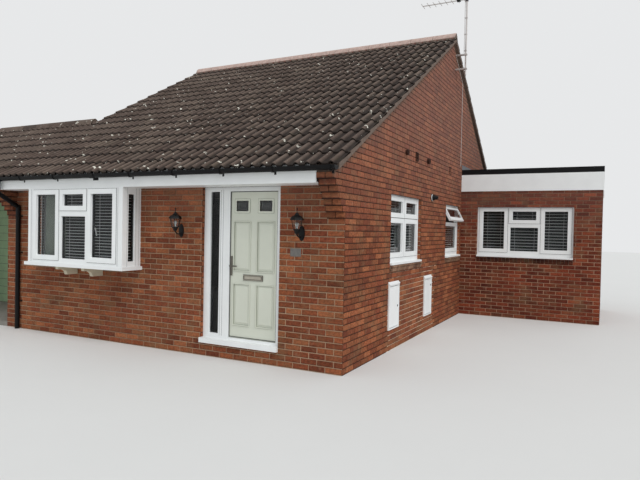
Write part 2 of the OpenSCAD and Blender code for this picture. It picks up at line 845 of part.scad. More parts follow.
// Hinges on the inside of the frame, each with its pin
module door_hinges() {
    inside = reveal + frame_d;
    color([0.6, 0.6, 0.58])
    for (z = hinge_zs) {
        translate([hinge_x, hinge_y, z - hinge_h / 2]) cylinder(r = pin_r, h = hinge_h);
        for (low = [z - hinge_h / 2, z + hinge_mid]) {
            translate([hinge_x, hinge_y, low]) cylinder(r = knuckle_r, h = hinge_h / 2 - hinge_mid);
            box(hinge_x, hinge_x + knuckle_r + hinge_clear, inside, inside + hinge_t, low,
                low + hinge_h / 2 - hinge_mid);
        }
        box(hinge_x + knuckle_r + hinge_clear, hinge_x + hinge_flap, inside, inside + hinge_t,
            z - hinge_h / 2, z + hinge_h / 2);
    }
}

// The half of each hinge that turns with the leaf
module leaf_knuckles() {
    inside = leaf_y + leaf_t;
    tall = knuckle_h - knuckle_play;
    for (z = hinge_zs)
        difference() {
            union() {
                translate([hinge_x, hinge_y, z - tall / 2]) cylinder(r = knuckle_r, h = tall);
                box(hinge_x - hinge_flap, hinge_x, inside, inside + hinge_t + flap_more, z - tall / 2,
                    z + tall / 2);
            }
            translate([hinge_x, hinge_y, z - tall]) cylinder(r = pin_r + fit_gap, h = tall * 2);
        }
}

module pane_spots(y0, y1) {
    for (x = pane_lefts)
        box(x, x + pane_w, y0, y1, pane_foot, pane_foot + pane_h);
}

// Raised middle of a door panel, with sloping edges on all four sides
module panel_field(x0, x1, z0, z1) {
    face = leaf_y - cut_past;
    floor_y = leaf_y + panel_deep;
    a = panel_edge;
    b = panel_edge + panel_slope;
    intersection() {
        run_x(x0, x1, [[floor_y, z0 + a], [leaf_y, z0 + b], [face, z0 + b], [face, z1 - b],
            [leaf_y, z1 - b], [floor_y, z1 - a]]);
        translate([0, 0, z0]) linear_extrude(z1 - z0) polygon([[x0 + a, floor_y],
            [x0 + b, leaf_y], [x0 + b, face], [x1 - b, face], [x1 - b, leaf_y],
            [x1 - a, floor_y]]);
    }
}

module panel_groove(x, z, h) {
    x0 = x - panel_more;
    x1 = x + pane_w + panel_more;
    difference() {
        box(x0, x1, leaf_y - cut_past, leaf_y + panel_deep, z, z + h);
        panel_field(x0, x1, z, z + h);
    }
}

module door_leaf() {
    color([0.72, 0.75, 0.67])
    difference() {
        union() {
            box(leaf_x0, leaf_x1, leaf_y, leaf_y + leaf_t, leaf_z0, leaf_z1);
            for (x = pane_lefts)
                box(x - pane_rim, x + pane_w + pane_rim, leaf_y - pane_proud, leaf_y + leaf_t,
                    pane_foot - pane_rim, pane_foot + pane_h + pane_rim);
        }
        pane_spots(0, inner);
        for (x = pane_lefts) {
            panel_groove(x, low_panel_z, low_panel_h);
            panel_groove(x, high_panel_z, high_panel_h);
        }
    }
}

module door_panes() {
    color([0.55, 0.6, 0.62])
    pane_spots(leaf_y + (leaf_t - glass_t) / 2, leaf_y + (leaf_t + glass_t) / 2);
}

module handle() {
    x = hole_x0 + handle_in;
    box(x - handle_plate / 2, x + handle_plate / 2, -handle_plate / 4, 0,
        handle_z - handle_h / 2, handle_z + handle_h / 2);
    bar_r = handle_bar / 2;
    translate([x, -handle_out + bar_r, handle_z]) {
        rotate([-90, 0, 0]) cylinder(r = bar_r, h = handle_out - bar_r - handle_plate / 8);
        sphere(r = bar_r);
        rotate([0, 90, 0]) cylinder(r = bar_r, h = handle_l - bar_r);
        translate([handle_l - bar_r, 0, 0]) sphere(r = bar_r);
    }
}

module door_furniture() {
    color([0.6, 0.6, 0.58]) {
        translate([0, leaf_y, 0]) handle();
        translate([0, leaf_y + leaf_t, 0]) mirror([0, 1, 0]) handle();
        leaf_knuckles();
        box(leaf_mid - letter_w / 2, leaf_mid + letter_w / 2, leaf_y - letter_out, leaf_y,
            letter_z - letter_h / 2, letter_z + letter_h / 2);
    }
}

// Windows of the gable, the extension and the back wall
rows = [[win_foot + win_low, transom_z - transom_h / 2],
    [transom_z + transom_h / 2, win_head - win_top]];
sash_edge = win_edge - sash_w - sash_gap;
gw1_mid = (gw1_y0 + gw1_y1) / 2;
gw1_lights = [for (r = rows) for (c = [[gw1_y0 + win_edge, gw1_mid - win_mid / 2],
    [gw1_mid + win_mid / 2, gw1_y1 - win_edge]]) [c[0], c[1], r[0], r[1]]];
gw2_fixed = [[gw2_y0 + win_edge, gw2_y1 - win_edge, rows[0][0], rows[0][1]]];
gw2_hole = [gw2_y0 + sash_edge, gw2_y1 - sash_edge, rows[1][0] - sash_w - sash_gap,
    win_head - win_top + sash_w];
ext_third = (ext_win_x1 - ext_win_x0) / 3;
ext_a = ext_win_x0 + ext_third;
ext_b = ext_win_x1 - ext_third;
ext_sashes = [[ext_win_x0 + win_edge, ext_a - win_mid / 2, rows[0][0], rows[1][1]],
    [ext_b + win_mid / 2, ext_win_x1 - win_edge, rows[0][0], rows[1][1]],
    [ext_a + win_mid / 2, ext_b - win_mid / 2, rows[1][0], rows[1][1]]];
ext_lights = concat(ext_sashes, [[ext_a + win_mid / 2 - fixed_more,
    ext_b - win_mid / 2 + fixed_more, rows[0][0] - fixed_more, rows[0][1]]]);
function back_lights(x) = [for (r = rows)
    for (c = [[x + win_edge, x + (back_win_w - win_mid) / 2],
        [x + (back_win_w + win_mid) / 2, x + back_win_w - win_edge]]) [c[0], c[1], r[0], r[1]]];

vent_x0 = gw2_hole[0] + sash_gap;
vent_x1 = gw2_hole[1] - sash_gap;
vent_h = gw2_hole[3] - gw2_hole[2] - sash_gap;
vent_lights = [[vent_x0 + sash_w, vent_x1 - sash_w, sash_w - vent_h, -sash_w]];

// Puts the open top light at its hinge line and turns it out
module vent_place() {
    on_gable() translate([0, reveal, gw2_hole[3]]) rotate([-vent_angle, 0, 0]) children();
}

module window_frames() {
    color([0.94, 0.94, 0.93]) {
        on_gable() frame_of(gw1_y0, gw1_y1, reveal, win_d, win_foot, win_head, gw1_lights,
            gw1_lights);
        on_gable() frame_of(gw2_y0, gw2_y1, reveal, win_d, win_foot, win_head,
            concat(gw2_fixed, [gw2_hole]), gw2_fixed);
        translate([0, ext_y0, 0])
            frame_of(ext_win_x0, ext_win_x1, reveal, win_d, win_foot, win_head, ext_lights,
                ext_sashes);
        vent_place() frame_of(vent_x0, vent_x1, 0, sash_t, -vent_h, 0, vent_lights);
        for (x = back_lefts)
            translate([0, house_d, 0]) mirror([0, 1, 0])
                frame_of(x, x + back_win_w, reveal, win_d, win_foot, win_head, back_lights(x),
                    back_lights(x));
    }
}

// Every pane of glass that doesn't open with the front door
module window_glass() {
    color([0.55, 0.6, 0.62]) {
        on_gable() panes_of(reveal, win_d, concat(gw1_lights, gw2_fixed));
        translate([0, ext_y0, 0]) panes_of(reveal, win_d, ext_lights);
        for (x = back_lefts)
            panes_of(house_d - reveal - win_d, win_d, back_lights(x));
        vent_place() panes_of(0, sash_t, vent_lights);
        panes_of(-bay_out, bay_frame_d, bay_lights);
        for (x = [bay_x0 + bay_frame_d, bay_x1])
            translate([x, 0, 0]) on_gable() panes_of(0, bay_frame_d, bay_side_hole);
        panes_of(reveal, frame_d,
            [[side_x0, side_x0 + side_w, hole_z0 + threshold_h, hole_z1]]);
    }
}

module white_sills() {
    color([0.94, 0.94, 0.93]) {
        for (y = [[gw1_y0, gw1_y1], [gw2_y0, gw2_y1]])
            box(-inner, sill_out, y[0], y[1], win_foot - sill_t, win_foot);
        box(ext_win_x0, ext_win_x1, ext_y0 - sill_out, ext_y0 + wall_t, win_foot - sill_t,
            win_foot);
        for (x = back_lefts)
            box(x, x + back_win_w, back_in, house_d + sill_out, win_foot - sill_t, win_foot);
    }
}

// Sloping brick sills, on the face of the wall below the white ones
module brick_sill(x0, x1) {
    top = win_foot - sill_t;
    run_x(x0, x1, [[0, top], [-brick_sill_out, top - sill_fall],
        [-brick_sill_out, top - brick_sill_h + sill_fall], [0, top - brick_sill_h]]);
}

module brick_sills() {
    color([0.6, 0.3, 0.22]) {
        on_gable() brick_sill(gw1_y0, gw1_y1);
        on_gable() brick_sill(gw2_y0, gw2_y1);
        translate([0, ext_y0, 0]) brick_sill(ext_win_x0, ext_win_x1);
        translate([0, house_d, 0]) mirror([0, 1, 0])
            for (x = back_lefts) brick_sill(x, x + back_win_w);
    }
}

// Extension with a flat roof
module ext_front_wall() {
    color([0.5, 0.22, 0.17])
    difference() {
        box(0, ext_w - wall_t, ext_y0, ext_y0 + wall_t, 0, ext_roof_z);
        box(ext_win_x0, ext_win_x1, ext_y0 - cut_past, ext_y0 + wall_t + cut_past, win_foot - sill_t,
            win_head);
    }
}

module ext_side_wall() {
    color([0.5, 0.22, 0.17])
    box(ext_w - wall_t, ext_w, ext_y0, ext_y1, 0, ext_roof_z);
}

module ext_rear_wall() {
    color([0.5, 0.22, 0.17])
    box(0, ext_w - wall_t, ext_y1 - wall_t, ext_y1, 0, ext_roof_z);
}

module ext_roof() {
    color([0.3, 0.3, 0.31])
    box(0, ext_w, ext_y0, ext_y1, ext_roof_z, ext_fascia_top);
}

// Boards and trim go round three sides, the fourth meets the gable
module band(x1, y0, y1, in, z0, z1) {
    difference() {
        box(0, x1, y0, y1, z0, z1);
        box(-cut_past, x1 - in, y0 + in, y1 - in, z0 - cut_past, z1 + cut_past);
    }
}

module ext_fascia() {
    color([0.93, 0.93, 0.92])
    band(ext_w + fascia_t, ext_y0 - fascia_t, ext_y1 + fascia_t, fascia_t, ext_fascia_z,
        ext_fascia_top);
}

module ext_edge_trim() {
    color([0.08, 0.08, 0.09])
    band(ext_w + fascia_t, ext_y0 - fascia_t, ext_y1 + fascia_t, trim_w, ext_fascia_top,
        ext_fascia_top + trim_h);
}

// Garage under the lower roof
module garage_party_wall() {
    color([0.6, 0.3, 0.22])
    run_x(garage_left, garage_left + garage_t, [[0, 0], [garage_d, 0],
        [garage_d, under_low(garage_d)], [low_ridge_y, under_low(low_ridge_y)],
        [0, under_f(0)]]);
}

// Back wall of the garage, and the wall that holds its door
module garage_walls() {
    y1 = garage_y + garage_t;
    back = garage_d - garage_t;
    color([0.6, 0.3, 0.22]) {
        run_x(garage_left + garage_t, left, [[back, 0], [garage_d, 0],
            [garage_d, under_low(garage_d)], [back, under_low(back)]]);
        difference() {
            run_x(garage_left + garage_t, left, [[garage_y, garage_floor_z], [y1, garage_floor_z],
                [y1, under_f(y1)], [garage_y, under_f(garage_y)]]);
            box(garage_door_x0, garage_door_x0 + garage_door_w, garage_y - cut_past, y1 + cut_past,
                garage_floor_z - cut_past, garage_floor_z + garage_door_h);
        }
    }
}

// Boards that run across, with a groove between each two
module garage_door() {
    y = garage_y + garage_post;
    color([0.42, 0.52, 0.42])
    difference() {
        box(garage_door_x0, garage_door_x0 + garage_door_w, y, y + garage_door_t,
            garage_floor_z, garage_floor_z + garage_door_h);
        for (i = [1 : boards - 1])
            translate([0, 0, garage_floor_z + garage_door_h * i / boards - groove_h / 2])
                box(garage_door_x0 - cut_past, garage_door_x0 + garage_door_w + cut_past,
                    y - cut_past, y + groove_d, 0, groove_h);
    }
}

module garage_roof() {
    back = garage_d + eave_over;
    low_back = garage_d + board_back;
    color([0.35, 0.3, 0.27]) {
        run_x(garage_left, left - low_verge, [[-eave_over, eave_z],
            [-eave_over, eave_z - tile_t], [-board_back, top_f(-board_back) - tile_t],
            [-board_back, top_f(-board_back) - roof_t], [low_ridge_y, low_z - roof_t],
            [garage_d, low_r(garage_d) - roof_t],
            [garage_d, low_r(garage_d) - tile_t], [back, low_r(back) - tile_t],
            [back, low_r(back)], [low_ridge_y, low_z]]);
        run_x(left - low_verge, left, [[low_ridge_y + eave_over, low_r(low_ridge_y + eave_over)],
            [low_ridge_y + eave_over, low_r(low_ridge_y + eave_over) - roof_t],
            [garage_d, low_r(garage_d) - roof_t], [garage_d, low_r(garage_d) - tile_t],
            [back, low_r(back) - tile_t], [back, low_r(back)]]);
    }
}

// Meter boxes let into the gable wall
module meter_housing(y, z) {
    difference() {
        box(-meter_in, meter_out, y, y + meter_w, z, z + meter_h);
        box(-meter_in + meter_shell, meter_out + cut_past, y + meter_rim, y + meter_w - meter_rim,
            z + meter_rim, z + meter_h - meter_rim);
        meter_pins(y, z, meter_pin_r + fit_gap, meter_gap + meter_rim / 2 + cut_past);
    }
}

// Pins up and down from the hinge side of a meter door into the rim
module meter_pins(y, z, r, reach) {
    edge = meter_rim + meter_gap;
    for (low = [z + edge - reach, z + meter_h - edge])
        translate([meter_out - meter_door_t / 2, y + edge + meter_pin_in, low])
            cylinder(r = r, h = reach);
}

// Sloping hood that throws rain off a meter box
module meter_hood(y, top) {
    nose = -meter_out - hood_out;
    on_gable() run_x(y, y + meter_w, [[0, top], [nose, top], [nose, top + hood_nose],
        [0, top + hood_h]]);
}

module meter_housings() {
    color([0.88, 0.88, 0.86]) {
        meter_housing(meter1_y, meter1_z);
        meter_hood(meter1_y, meter1_z + meter_h);
        meter_housing(meter2_y, meter2_z);
        meter_hood(meter2_y, meter2_z + meter_h);
    }
}

module meter_door(y, z) {
    edge = meter_rim + meter_gap;
    box(meter_out - meter_door_t, meter_out, y + edge, y + meter_w - edge, z + edge,
        z + meter_h - edge);
    meter_pins(y, z, meter_pin_r, meter_gap + meter_rim / 2);
}

module meter_door_1() {
    color([0.9, 0.9, 0.88])
    meter_door(meter1_y, meter1_z);
}

module meter_door_2() {
    color([0.9, 0.9, 0.88])
    meter_door(meter2_y, meter2_z);
}

// Fittings on the walls
// A lantern with six panes on an arm from its wall plate
module lantern() {
    arm_z = -lantern_plate_h / 4;
    box(-lantern_plate_w / 2, lantern_plate_w / 2, -lantern_plate_t, 0, -lantern_plate_h / 2,
        lantern_plate_h / 2);
    translate([0, -lantern_out, arm_z]) {
        rotate([-90, 0, 0]) cylinder(r = arm_r, h = lantern_out - lantern_plate_t / 2);
        sphere(r = arm_r);
        cylinder(r = arm_r, h = -arm_z + cup_h / 2);
    }
    translate([0, -lantern_out, 0]) {
        cylinder(r1 = arm_r, r2 = lantern_foot / 2, h = cup_h, $fn = 6);
        translate([0, 0, cup_h]) lantern_glass();
        translate([0, 0, cup_h + lantern_h]) {
            cylinder(r1 = lantern_roof_w / 2, r2 = lantern_top_w / 2, h = lantern_roof_h, $fn = 6);
            cylinder(r = finial_r, h = lantern_roof_h + finial_h);
            translate([0, 0, lantern_roof_h])
                cylinder(r1 = lantern_top_w / 2, r2 = finial_r, h = finial_h / 4, $fn = 6);
            translate([0, 0, lantern_roof_h + finial_h]) sphere(r = finial_r * 2);
        }
    }
}

// Six sides that lean out, each cut back between its bars
module lantern_glass() {
    side = cos(30);
    lean = atan2((lantern_w - lantern_foot) / 2 * side, lantern_h);
    difference() {
        cylinder(r1 = lantern_foot / 2, r2 = lantern_w / 2, h = lantern_h, $fn = 6);
        for (turn = [30 : 60 : 330])
            rotate([0, 0, turn]) translate([lantern_foot / 2 * side, 0, 0]) rotate([0, lean, 0])
                box(-lantern_deep, lantern_deep, lantern_bar - lantern_foot / 4,
                    lantern_foot / 4 - lantern_bar, lantern_bar, lantern_h - lantern_bar);
    }
}

module wall_lanterns() {
    color([0.06, 0.06, 0.06])
    for (x = [lantern_x0, lantern_x1])
        translate([x, 0, lantern_z]) lantern();
}

module number_plate() {
    color([0.25, 0.27, 0.29])
    box(plate_x - plate_w / 2, plate_x + plate_w / 2, -plate_t, 0, plate_z - plate_h / 2,
        plate_z + plate_h / 2);
}

module gable_vents() {
    color([0.2, 0.17, 0.16]) {
        for (y = vent_ys)
            box(0, vent_d, y - vent_w / 2, y + vent_w / 2, vent_z - vent_w / 2,
                vent_z + vent_w / 2);
        box(0, vent_d / 2, vent_tall_y - vent_w / 2, vent_tall_y + vent_w / 2,
            vent_z - vent_w, vent_z + vent_w);
        box(0, slim_d, ext_y0 - vent_last - vent_w / 2, ext_y0 - vent_last + vent_w / 2,
            vent_z - slim_h / 2, vent_z + slim_h / 2);
    }
}

module security_light() {
    color([0.08, 0.08, 0.08])
    translate([0, lamp_y, lamp_z]) rotate([0, 90, 0]) {
        cylinder(r = lamp_r, h = lamp_ring);
        translate([0, 0, lamp_ring])
            cylinder(r1 = lamp_body_r, r2 = lamp_tip_r, h = lamp_out - lamp_ring);
    }
}

// Cable on the gable, from the upper bracket down along the roof, then
// upright to the wall over the extension
module aerial_cable() {
    x = clip_r + fit_gap;
    top = bracket_z + bracket_gap + bracket_t / 2;
    bend = top - cable_back * slope_r;
    foot = ext_fascia_top + trim_h + cable_rise;
    translate([x, mast_y, top]) rotate([-90 - atan(slope_r), 0, 0])
        cylinder(r = cable_r, h = sqrt(pow(cable_back, 2) + pow(top - bend, 2)));
    translate([x, mast_y + cable_back, foot]) {
        cylinder(r = cable_r, h = bend - foot);
        sphere(r = clip_r);
        translate([0, 0, bend - foot]) sphere(r = clip_r);
    }
}

module aerial() {
    color([0.55, 0.56, 0.58]) {
        translate([mast_x, mast_y, mast_foot]) cylinder(r = mast_r, h = mast_top - mast_foot);
        for (z = [bracket_z, bracket_z + bracket_gap])
            box(0, mast_x + mast_r + bracket_t / 2, mast_y - mast_r - bracket_t / 2,
                mast_y + mast_r + bracket_t / 2, z, z + bracket_t);
        aerial_cable();
        box(mast_x - boom_l, mast_x, mast_y - boom_t / 2, mast_y + boom_t / 2,
            boom_z, boom_z + boom_t);
        for (i = [0 : boom_rods - 1])
            box(mast_x - boom_l + boom_step * i, mast_x - boom_l + boom_step * i + boom_t / 2,
                mast_y - rod_l / 2, mast_y + rod_l / 2, boom_z + boom_t / 4, boom_z + boom_t * 0.75);
    }
}

floor_slabs();
front_wall();
front_wall_at_door();
right_gable_wall();
left_gable_wall();
rear_wall();
ceiling();
roof_front();
roof_rear();
ridge_tiles();
fascias();
soffits();
gutters();
downpipes();
bay_frame();
bay_sill();
bay_brackets();
door_frame();
door_hinges();
door_sill();
door_leaf();
door_panes();
door_furniture();
window_frames();
window_glass();
white_sills();
brick_sills();
ext_front_wall();
ext_side_wall();
ext_rear_wall();
ext_roof();
ext_fascia();
ext_edge_trim();
garage_party_wall();
garage_walls();
garage_door();
garage_roof();
meter_housings();
meter_door_1();
meter_door_2();
wall_lanterns();
number_plate();
gable_vents();
security_light();
aerial();
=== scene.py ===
import math
from collections import namedtuple

import bmesh
import bpy
import numpy as np
from mathutils import Matrix, Vector


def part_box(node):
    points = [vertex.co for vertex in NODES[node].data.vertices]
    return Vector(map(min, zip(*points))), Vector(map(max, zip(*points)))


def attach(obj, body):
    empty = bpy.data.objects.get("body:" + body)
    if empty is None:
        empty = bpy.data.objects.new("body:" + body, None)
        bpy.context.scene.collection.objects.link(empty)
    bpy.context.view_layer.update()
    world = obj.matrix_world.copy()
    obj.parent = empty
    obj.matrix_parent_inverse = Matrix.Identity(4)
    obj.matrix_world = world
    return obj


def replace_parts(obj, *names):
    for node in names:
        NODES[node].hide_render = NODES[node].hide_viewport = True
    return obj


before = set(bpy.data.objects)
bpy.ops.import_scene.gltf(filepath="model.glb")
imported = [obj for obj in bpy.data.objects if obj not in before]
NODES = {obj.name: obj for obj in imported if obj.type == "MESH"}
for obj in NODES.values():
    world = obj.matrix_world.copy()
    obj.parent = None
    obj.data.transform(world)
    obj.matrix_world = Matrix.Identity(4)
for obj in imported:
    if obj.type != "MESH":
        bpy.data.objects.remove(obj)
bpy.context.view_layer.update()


def points_of(node):
    """Every corner of a CAD node, one row each."""
    return np.array([v.co for v in NODES[node].data.vertices])


def top_at(node, y):
    """Height of the top of a node at its corners within a millimetre of y."""
    co = points_of(node)
    return float(co[np.abs(co[:, 1] - y) < 1e-3, 2].max())


def parts_of(node):
    """Lowest and highest corner of each separate solid of a node."""
    spots = {}
    co = points_of(node)
    spot = [spots.setdefault(tuple(np.round(p, 4)), len(spots)) for p in co]
    group = list(range(len(spots)))

    def root(i):
        while group[i] != i:
            i = group[i]
        return i

    for face in NODES[node].data.polygons:
        first = root(spot[face.vertices[0]])
        for corner in face.vertices:
            group[root(spot[corner])] = first
    found = {}
    for i, p in enumerate(co):
        found.setdefault(root(spot[i]), []).append(p)
    return sorted((tuple(np.min(g, 0)), tuple(np.max(g, 0))) for g in found.values())


# Sizes read from the frame, in metres
HOUSE_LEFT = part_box("left_gable_wall")[0].x
HOUSE_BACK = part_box("rear_wall")[1].y
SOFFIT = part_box("soffits")[0].z
EXT_LO, EXT_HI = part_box("ext_side_wall")
BAY_LO, BAY_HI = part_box("bay_frame")
BAY_THIRD = (BAY_HI.x - BAY_LO.x) / 3
DOOR_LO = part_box("door_frame")[0]
LEAF_FACE = min(lo[1] for lo, hi in parts_of("door_leaf"))
WINDOW_FOOT = min(lo[2] for lo, hi in parts_of("window_frames"))
WINDOW_HEAD = max(hi[2] for lo, hi in parts_of("window_frames"))
GARAGE_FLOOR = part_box("garage_door")[0].z
LANTERN_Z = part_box("wall_lanterns")[0].z + 0.095
BOOM_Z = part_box("aerial")[1].z - 0.064

# Slopes of the roofs
ROOF_LO, ROOF_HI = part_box("roof_front")
LOW_LO, LOW_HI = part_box("garage_roof")
RIDGE_Y = ROOF_HI.y
EAVE_Y = ROOF_LO.y
EAVE_Z = top_at("roof_front", EAVE_Y)
FRONT_RISE = (ROOF_HI.z - EAVE_Z) / (RIDGE_Y - EAVE_Y)
FRONT_ANGLE = math.atan(FRONT_RISE)
REAR_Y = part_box("roof_rear")[1].y
REAR_Z = top_at("roof_rear", REAR_Y)
REAR_RISE = (ROOF_HI.z - REAR_Z) / (REAR_Y - RIDGE_Y)
REAR_ANGLE = math.atan(REAR_RISE)
FRONT_LENGTH = (RIDGE_Y - EAVE_Y) / math.cos(FRONT_ANGLE)
REAR_LENGTH = (REAR_Y - RIDGE_Y) / math.cos(REAR_ANGLE)
LOW_RIDGE_Y = (LOW_LO.y + LOW_HI.y) / 2
LOW_LENGTH = (LOW_RIDGE_Y - EAVE_Y) / math.cos(FRONT_ANGLE)
FASCIA_OUT = 0.318
FASCIA_TIP = 0.390

# Walls and bricks
WALL_MID = 0.150
REVEAL_IN = 0.060
BRICK = 0.225
COURSE = 0.075
JOINT = 0.010
BRICK_PROUD = 0.004
BRICK_SUNK = 0.004
UNEVEN = 0.001
CORBEL_W = 0.225
CORBEL_ROW = 25
CORBEL_FIRST = 0.025
CORBEL_STEP = 0.050
CORBEL_LAST = 6
CORBEL_JOINT = 0.022
SILL_NOSE = 0.020
SILL_SLOPE = 0.030
WAYS = {"front": (0, -1, 0), "back": (0, 1, 0), "right": (1, 0, 0), "left": (-1, 0, 0)}

# Heights and reach of the dirt, repointing, fading and painted shade on walls
JOINT_SHADE_RISE = (1.5, 2.4)
POINTED_HEAD = (0.95, 1.25)
FADING = (1.7, 3.6)
JOINT_SHADE = 0.55
JOINT_SHADE_REACH = 0.024
STAIN_REACH = 0.26

# Windows
BEAD = 0.005
SEAL = 0.003
SASH_OUT = 0.070
SASH_FACE = 0.023
FIXED_FOOT = 0.120
BAY_FIXED_FOOT = 0.100
PANE_T = 0.0245
SHADE_LINER = 0.048
LINE_W = 0.004
LINE_OUT = 0.0008
LINE_IN = 0.0005

# Blinds
SLAT_PITCH = 0.044
EXT_SLAT_PITCH = 0.062
SLAT_WIDTH = 0.050
SLAT_T = 0.0022
SLAT_TILT = math.radians(-3)
EXT_SLAT_TILT = math.radians(-9)
SLAT_CURVE = ((-0.5, 0.0), (-0.2, 0.0035), (0.2, 0.0035), (0.5, 0.0))
BLIND_BACK = 0.099
BLIND_MORE = 0.020
LOUVRES = 7
LOUVRE_HALF = 0.042
LOUVRE_TURN = math.radians(24)

# Roof tiles
TILES_ACROSS = 21
LOW_ACROSS = 10
ROLLS = 2
GAUGE = FRONT_LENGTH / 18
ROLL_H = 0.034
ROLL_SHARE = 0.5
TILE_T = 0.019
NOSE = 0.005
TILE_LIFT = 0.026
TILE_LAP = 0.06
TILE_SLIP = 0.002
PAN_LOW = -0.034
DECK_DROP = 0.040
DECK_DEPTH = 0.160
VERGE_DEPTH = 0.112

# Ridge tiles
RIDGE_TILE = 0.45
RIDGE_GAP = 0.004
RIDGE_HALF = 0.112
RIDGE_TOP = 0.066
RIDGE_T = 0.014
RIDGE_ARC = 10
SLIP_SHARE = 0.44

# Front door
PANEL_ROWS = ((0.450, 1.005), (1.170, 1.830))
PANEL_MORE = 0.045
PANE_RIM = 0.030
PANE_SEAL = 0.006
LEAF_LAP = 0.016

# Fittings
LANTERN_ROOF = 0.0779
LANTERN_ARM = -0.0475
LANTERN_CUP = 0.05
LANTERN_GLASS = 0.16
LANTERN_CAP = 0.222
PIPE_CLIPS = (0.45, 1.25, 1.85)
GUTTER_UNIONS = (3, 7)
FLUE_HALF = 0.070
MAST = (0.200, 5.200)
UPPER_BRACKET = 5.284
PLAIN_TONE = (0.5, 0.5, 0.5)


def outward(mesh):
    """Turns every face of closed solids to look out."""
    work = bmesh.new()
    work.from_mesh(mesh)
    bmesh.ops.recalc_face_normals(work, faces=work.faces)
    work.to_mesh(mesh)
    work.free()


class Bits:
    """Collects closed solids, each with a tone, and makes them one piece."""

    def __init__(self):
        self.verts = []
        self.faces = []
        self.tones = []
        self.count = 0

    def add(self, verts, faces, tone=PLAIN_TONE):
        verts = np.asarray(verts, float).reshape(-1, 3)
        self.verts.append(verts)
        self.faces.extend([tuple(i + self.count for i in f) for f in faces])
        self.tones.append(np.broadcast_to(np.asarray(tone, float), (len(verts), 3)))
        self.count += len(verts)

    def prism(self, outline, run, tone=PLAIN_TONE):
        """A flat outline run along a vector, closed at both ends."""
        low = np.asarray(outline, float)
        n = len(low)
        if np.dot(np.cross(low[1] - low[0], low[2] - low[1]), run) > 0:
            low = low[::-1]
        faces = [tuple(range(n)), tuple(range(2 * n - 1, n - 1, -1))]
        faces += [((i + 1) % n, i, n + i, n + (i + 1) % n) for i in range(n)]
        self.add(np.vstack([low, low + np.asarray(run, float)]), faces, tone)

    def run_x(self, x, length, outline, tone=PLAIN_TONE):
        """An outline in y and z, run along X."""
        self.prism([(x, y, z) for y, z in outline], (length, 0, 0), tone)

    def box(self, lo, hi):
        (x0, y0, z0), (x1, y1, z1) = lo, hi
        self.prism([(x0, y0, z0), (x1, y0, z0), (x1, y1, z0), (x0, y1, z0)], (0, 0, z1 - z0))

    def lathe(self, start, axis, profile, sides):
        """A closed turned solid: profile is pairs of radius and distance along the axis."""
        axis = Vector(axis).normalized()
        side = axis.orthogonal().normalized()
        other = axis.cross(side)
        verts = []
        for radius, reach in profile:
            for k in range(sides):
                angle = 2 * math.pi * k / sides
                spoke = side * math.cos(angle) + other * math.sin(angle)
                verts.append(Vector(start) + axis * reach + spoke * radius)
        last = (len(profile) - 1) * sides
        faces = [tuple(range(sides))[::-1], tuple(range(last, last + sides))]
        for row in range(0, last, sides):
            for k in range(sides):
                a, b = row + k, row + (k + 1) % sides
                faces.append((a, b, b + sides, a + sides))
        self.add(verts, faces)

    def ring(self, corners, profile):
        """A picture frame: corners gives four places for an inset and a depth, profile is closed."""
        verts = [corner for inset, depth in profile for corner in corners(inset, depth)]
        faces = []
        for i in range(len(profile)):
            here, there = i * 4, (i + 1) % len(profile) * 4
            for k in range(4):
                far = (k + 1) % 4
                faces.append((here + k, here + far, there + far, there + k))
        self.add(verts, faces)

    def band(self, corners, inner, outer, near, far):
        """A picture frame with a plain section between two insets and two depths."""
        self.ring(corners, [(inner, near), (outer, near), (outer, far), (inner, far)])

    def piece(self, name, finish, slot, body="house", smooth_under=None):
        mesh = bpy.data.meshes.new(name)
        mesh.from_pydata(np.vstack(self.verts).tolist(), [], self.faces)
        outward(mesh)
        tone = mesh.attributes.new("tone", "FLOAT_COLOR", "POINT")
        colours = np.hstack([np.vstack(self.tones), np.ones((self.count, 1))])
        tone.data.foreach_set("color", colours.astype(np.float32).ravel())
        mesh.update()
        obj = bpy.data.objects.new(name, mesh)
        bpy.context.scene.collection.objects.link(obj)
        if smooth_under is not None:
            mesh.shade_smooth()
            mesh.set_sharp_from_angle(angle=math.radians(smooth_under))
        mesh.materials.append(M[finish])
        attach(obj, body)
        return obj


class Nodes:
    """Short calls for adding nodes to a tree."""

    def __init__(self, tree):
        self.tree = tree

    def add(self, kind, inputs=None, **settings):
        made = self.tree.nodes.new("ShaderNode" + kind)
        for key, value in settings.items():
            setattr(made, key, value)
        for key, value in (inputs or {}).items():
            if isinstance(value, bpy.types.NodeSocket):
                self.tree.links.new(value, made.inputs[key])
            else:
                made.inputs[key].default_value = value
        return made

    def calc(self, operation, a, b=0.0, c=0.0):
        return self.add("Math", {0: a, 1: b, 2: c}, operation=operation).outputs[0]

    def plus(self, a, b):
        return self.calc("ADD", a, b)

    def times(self, value, *factors):
        for factor in factors:
            value = self.calc("MULTIPLY", value, factor)
        return value

    def scaled(self, value, factor, more):
        return self.calc("MULTIPLY_ADD", value, factor, more)

    def rest(self, value):
        return self.calc("SUBTRACT", 1.0, value)

    def most(self, a, b):
        return self.calc("MAXIMUM", a, b)

    def over(self, value, low):
        return self.calc("GREATER_THAN", value, low)

    def under(self, value, high):
        return self.calc("LESS_THAN", value, high)

    def between(self, value, low, high):
        return self.times(self.over(value, low), self.under(value, high))


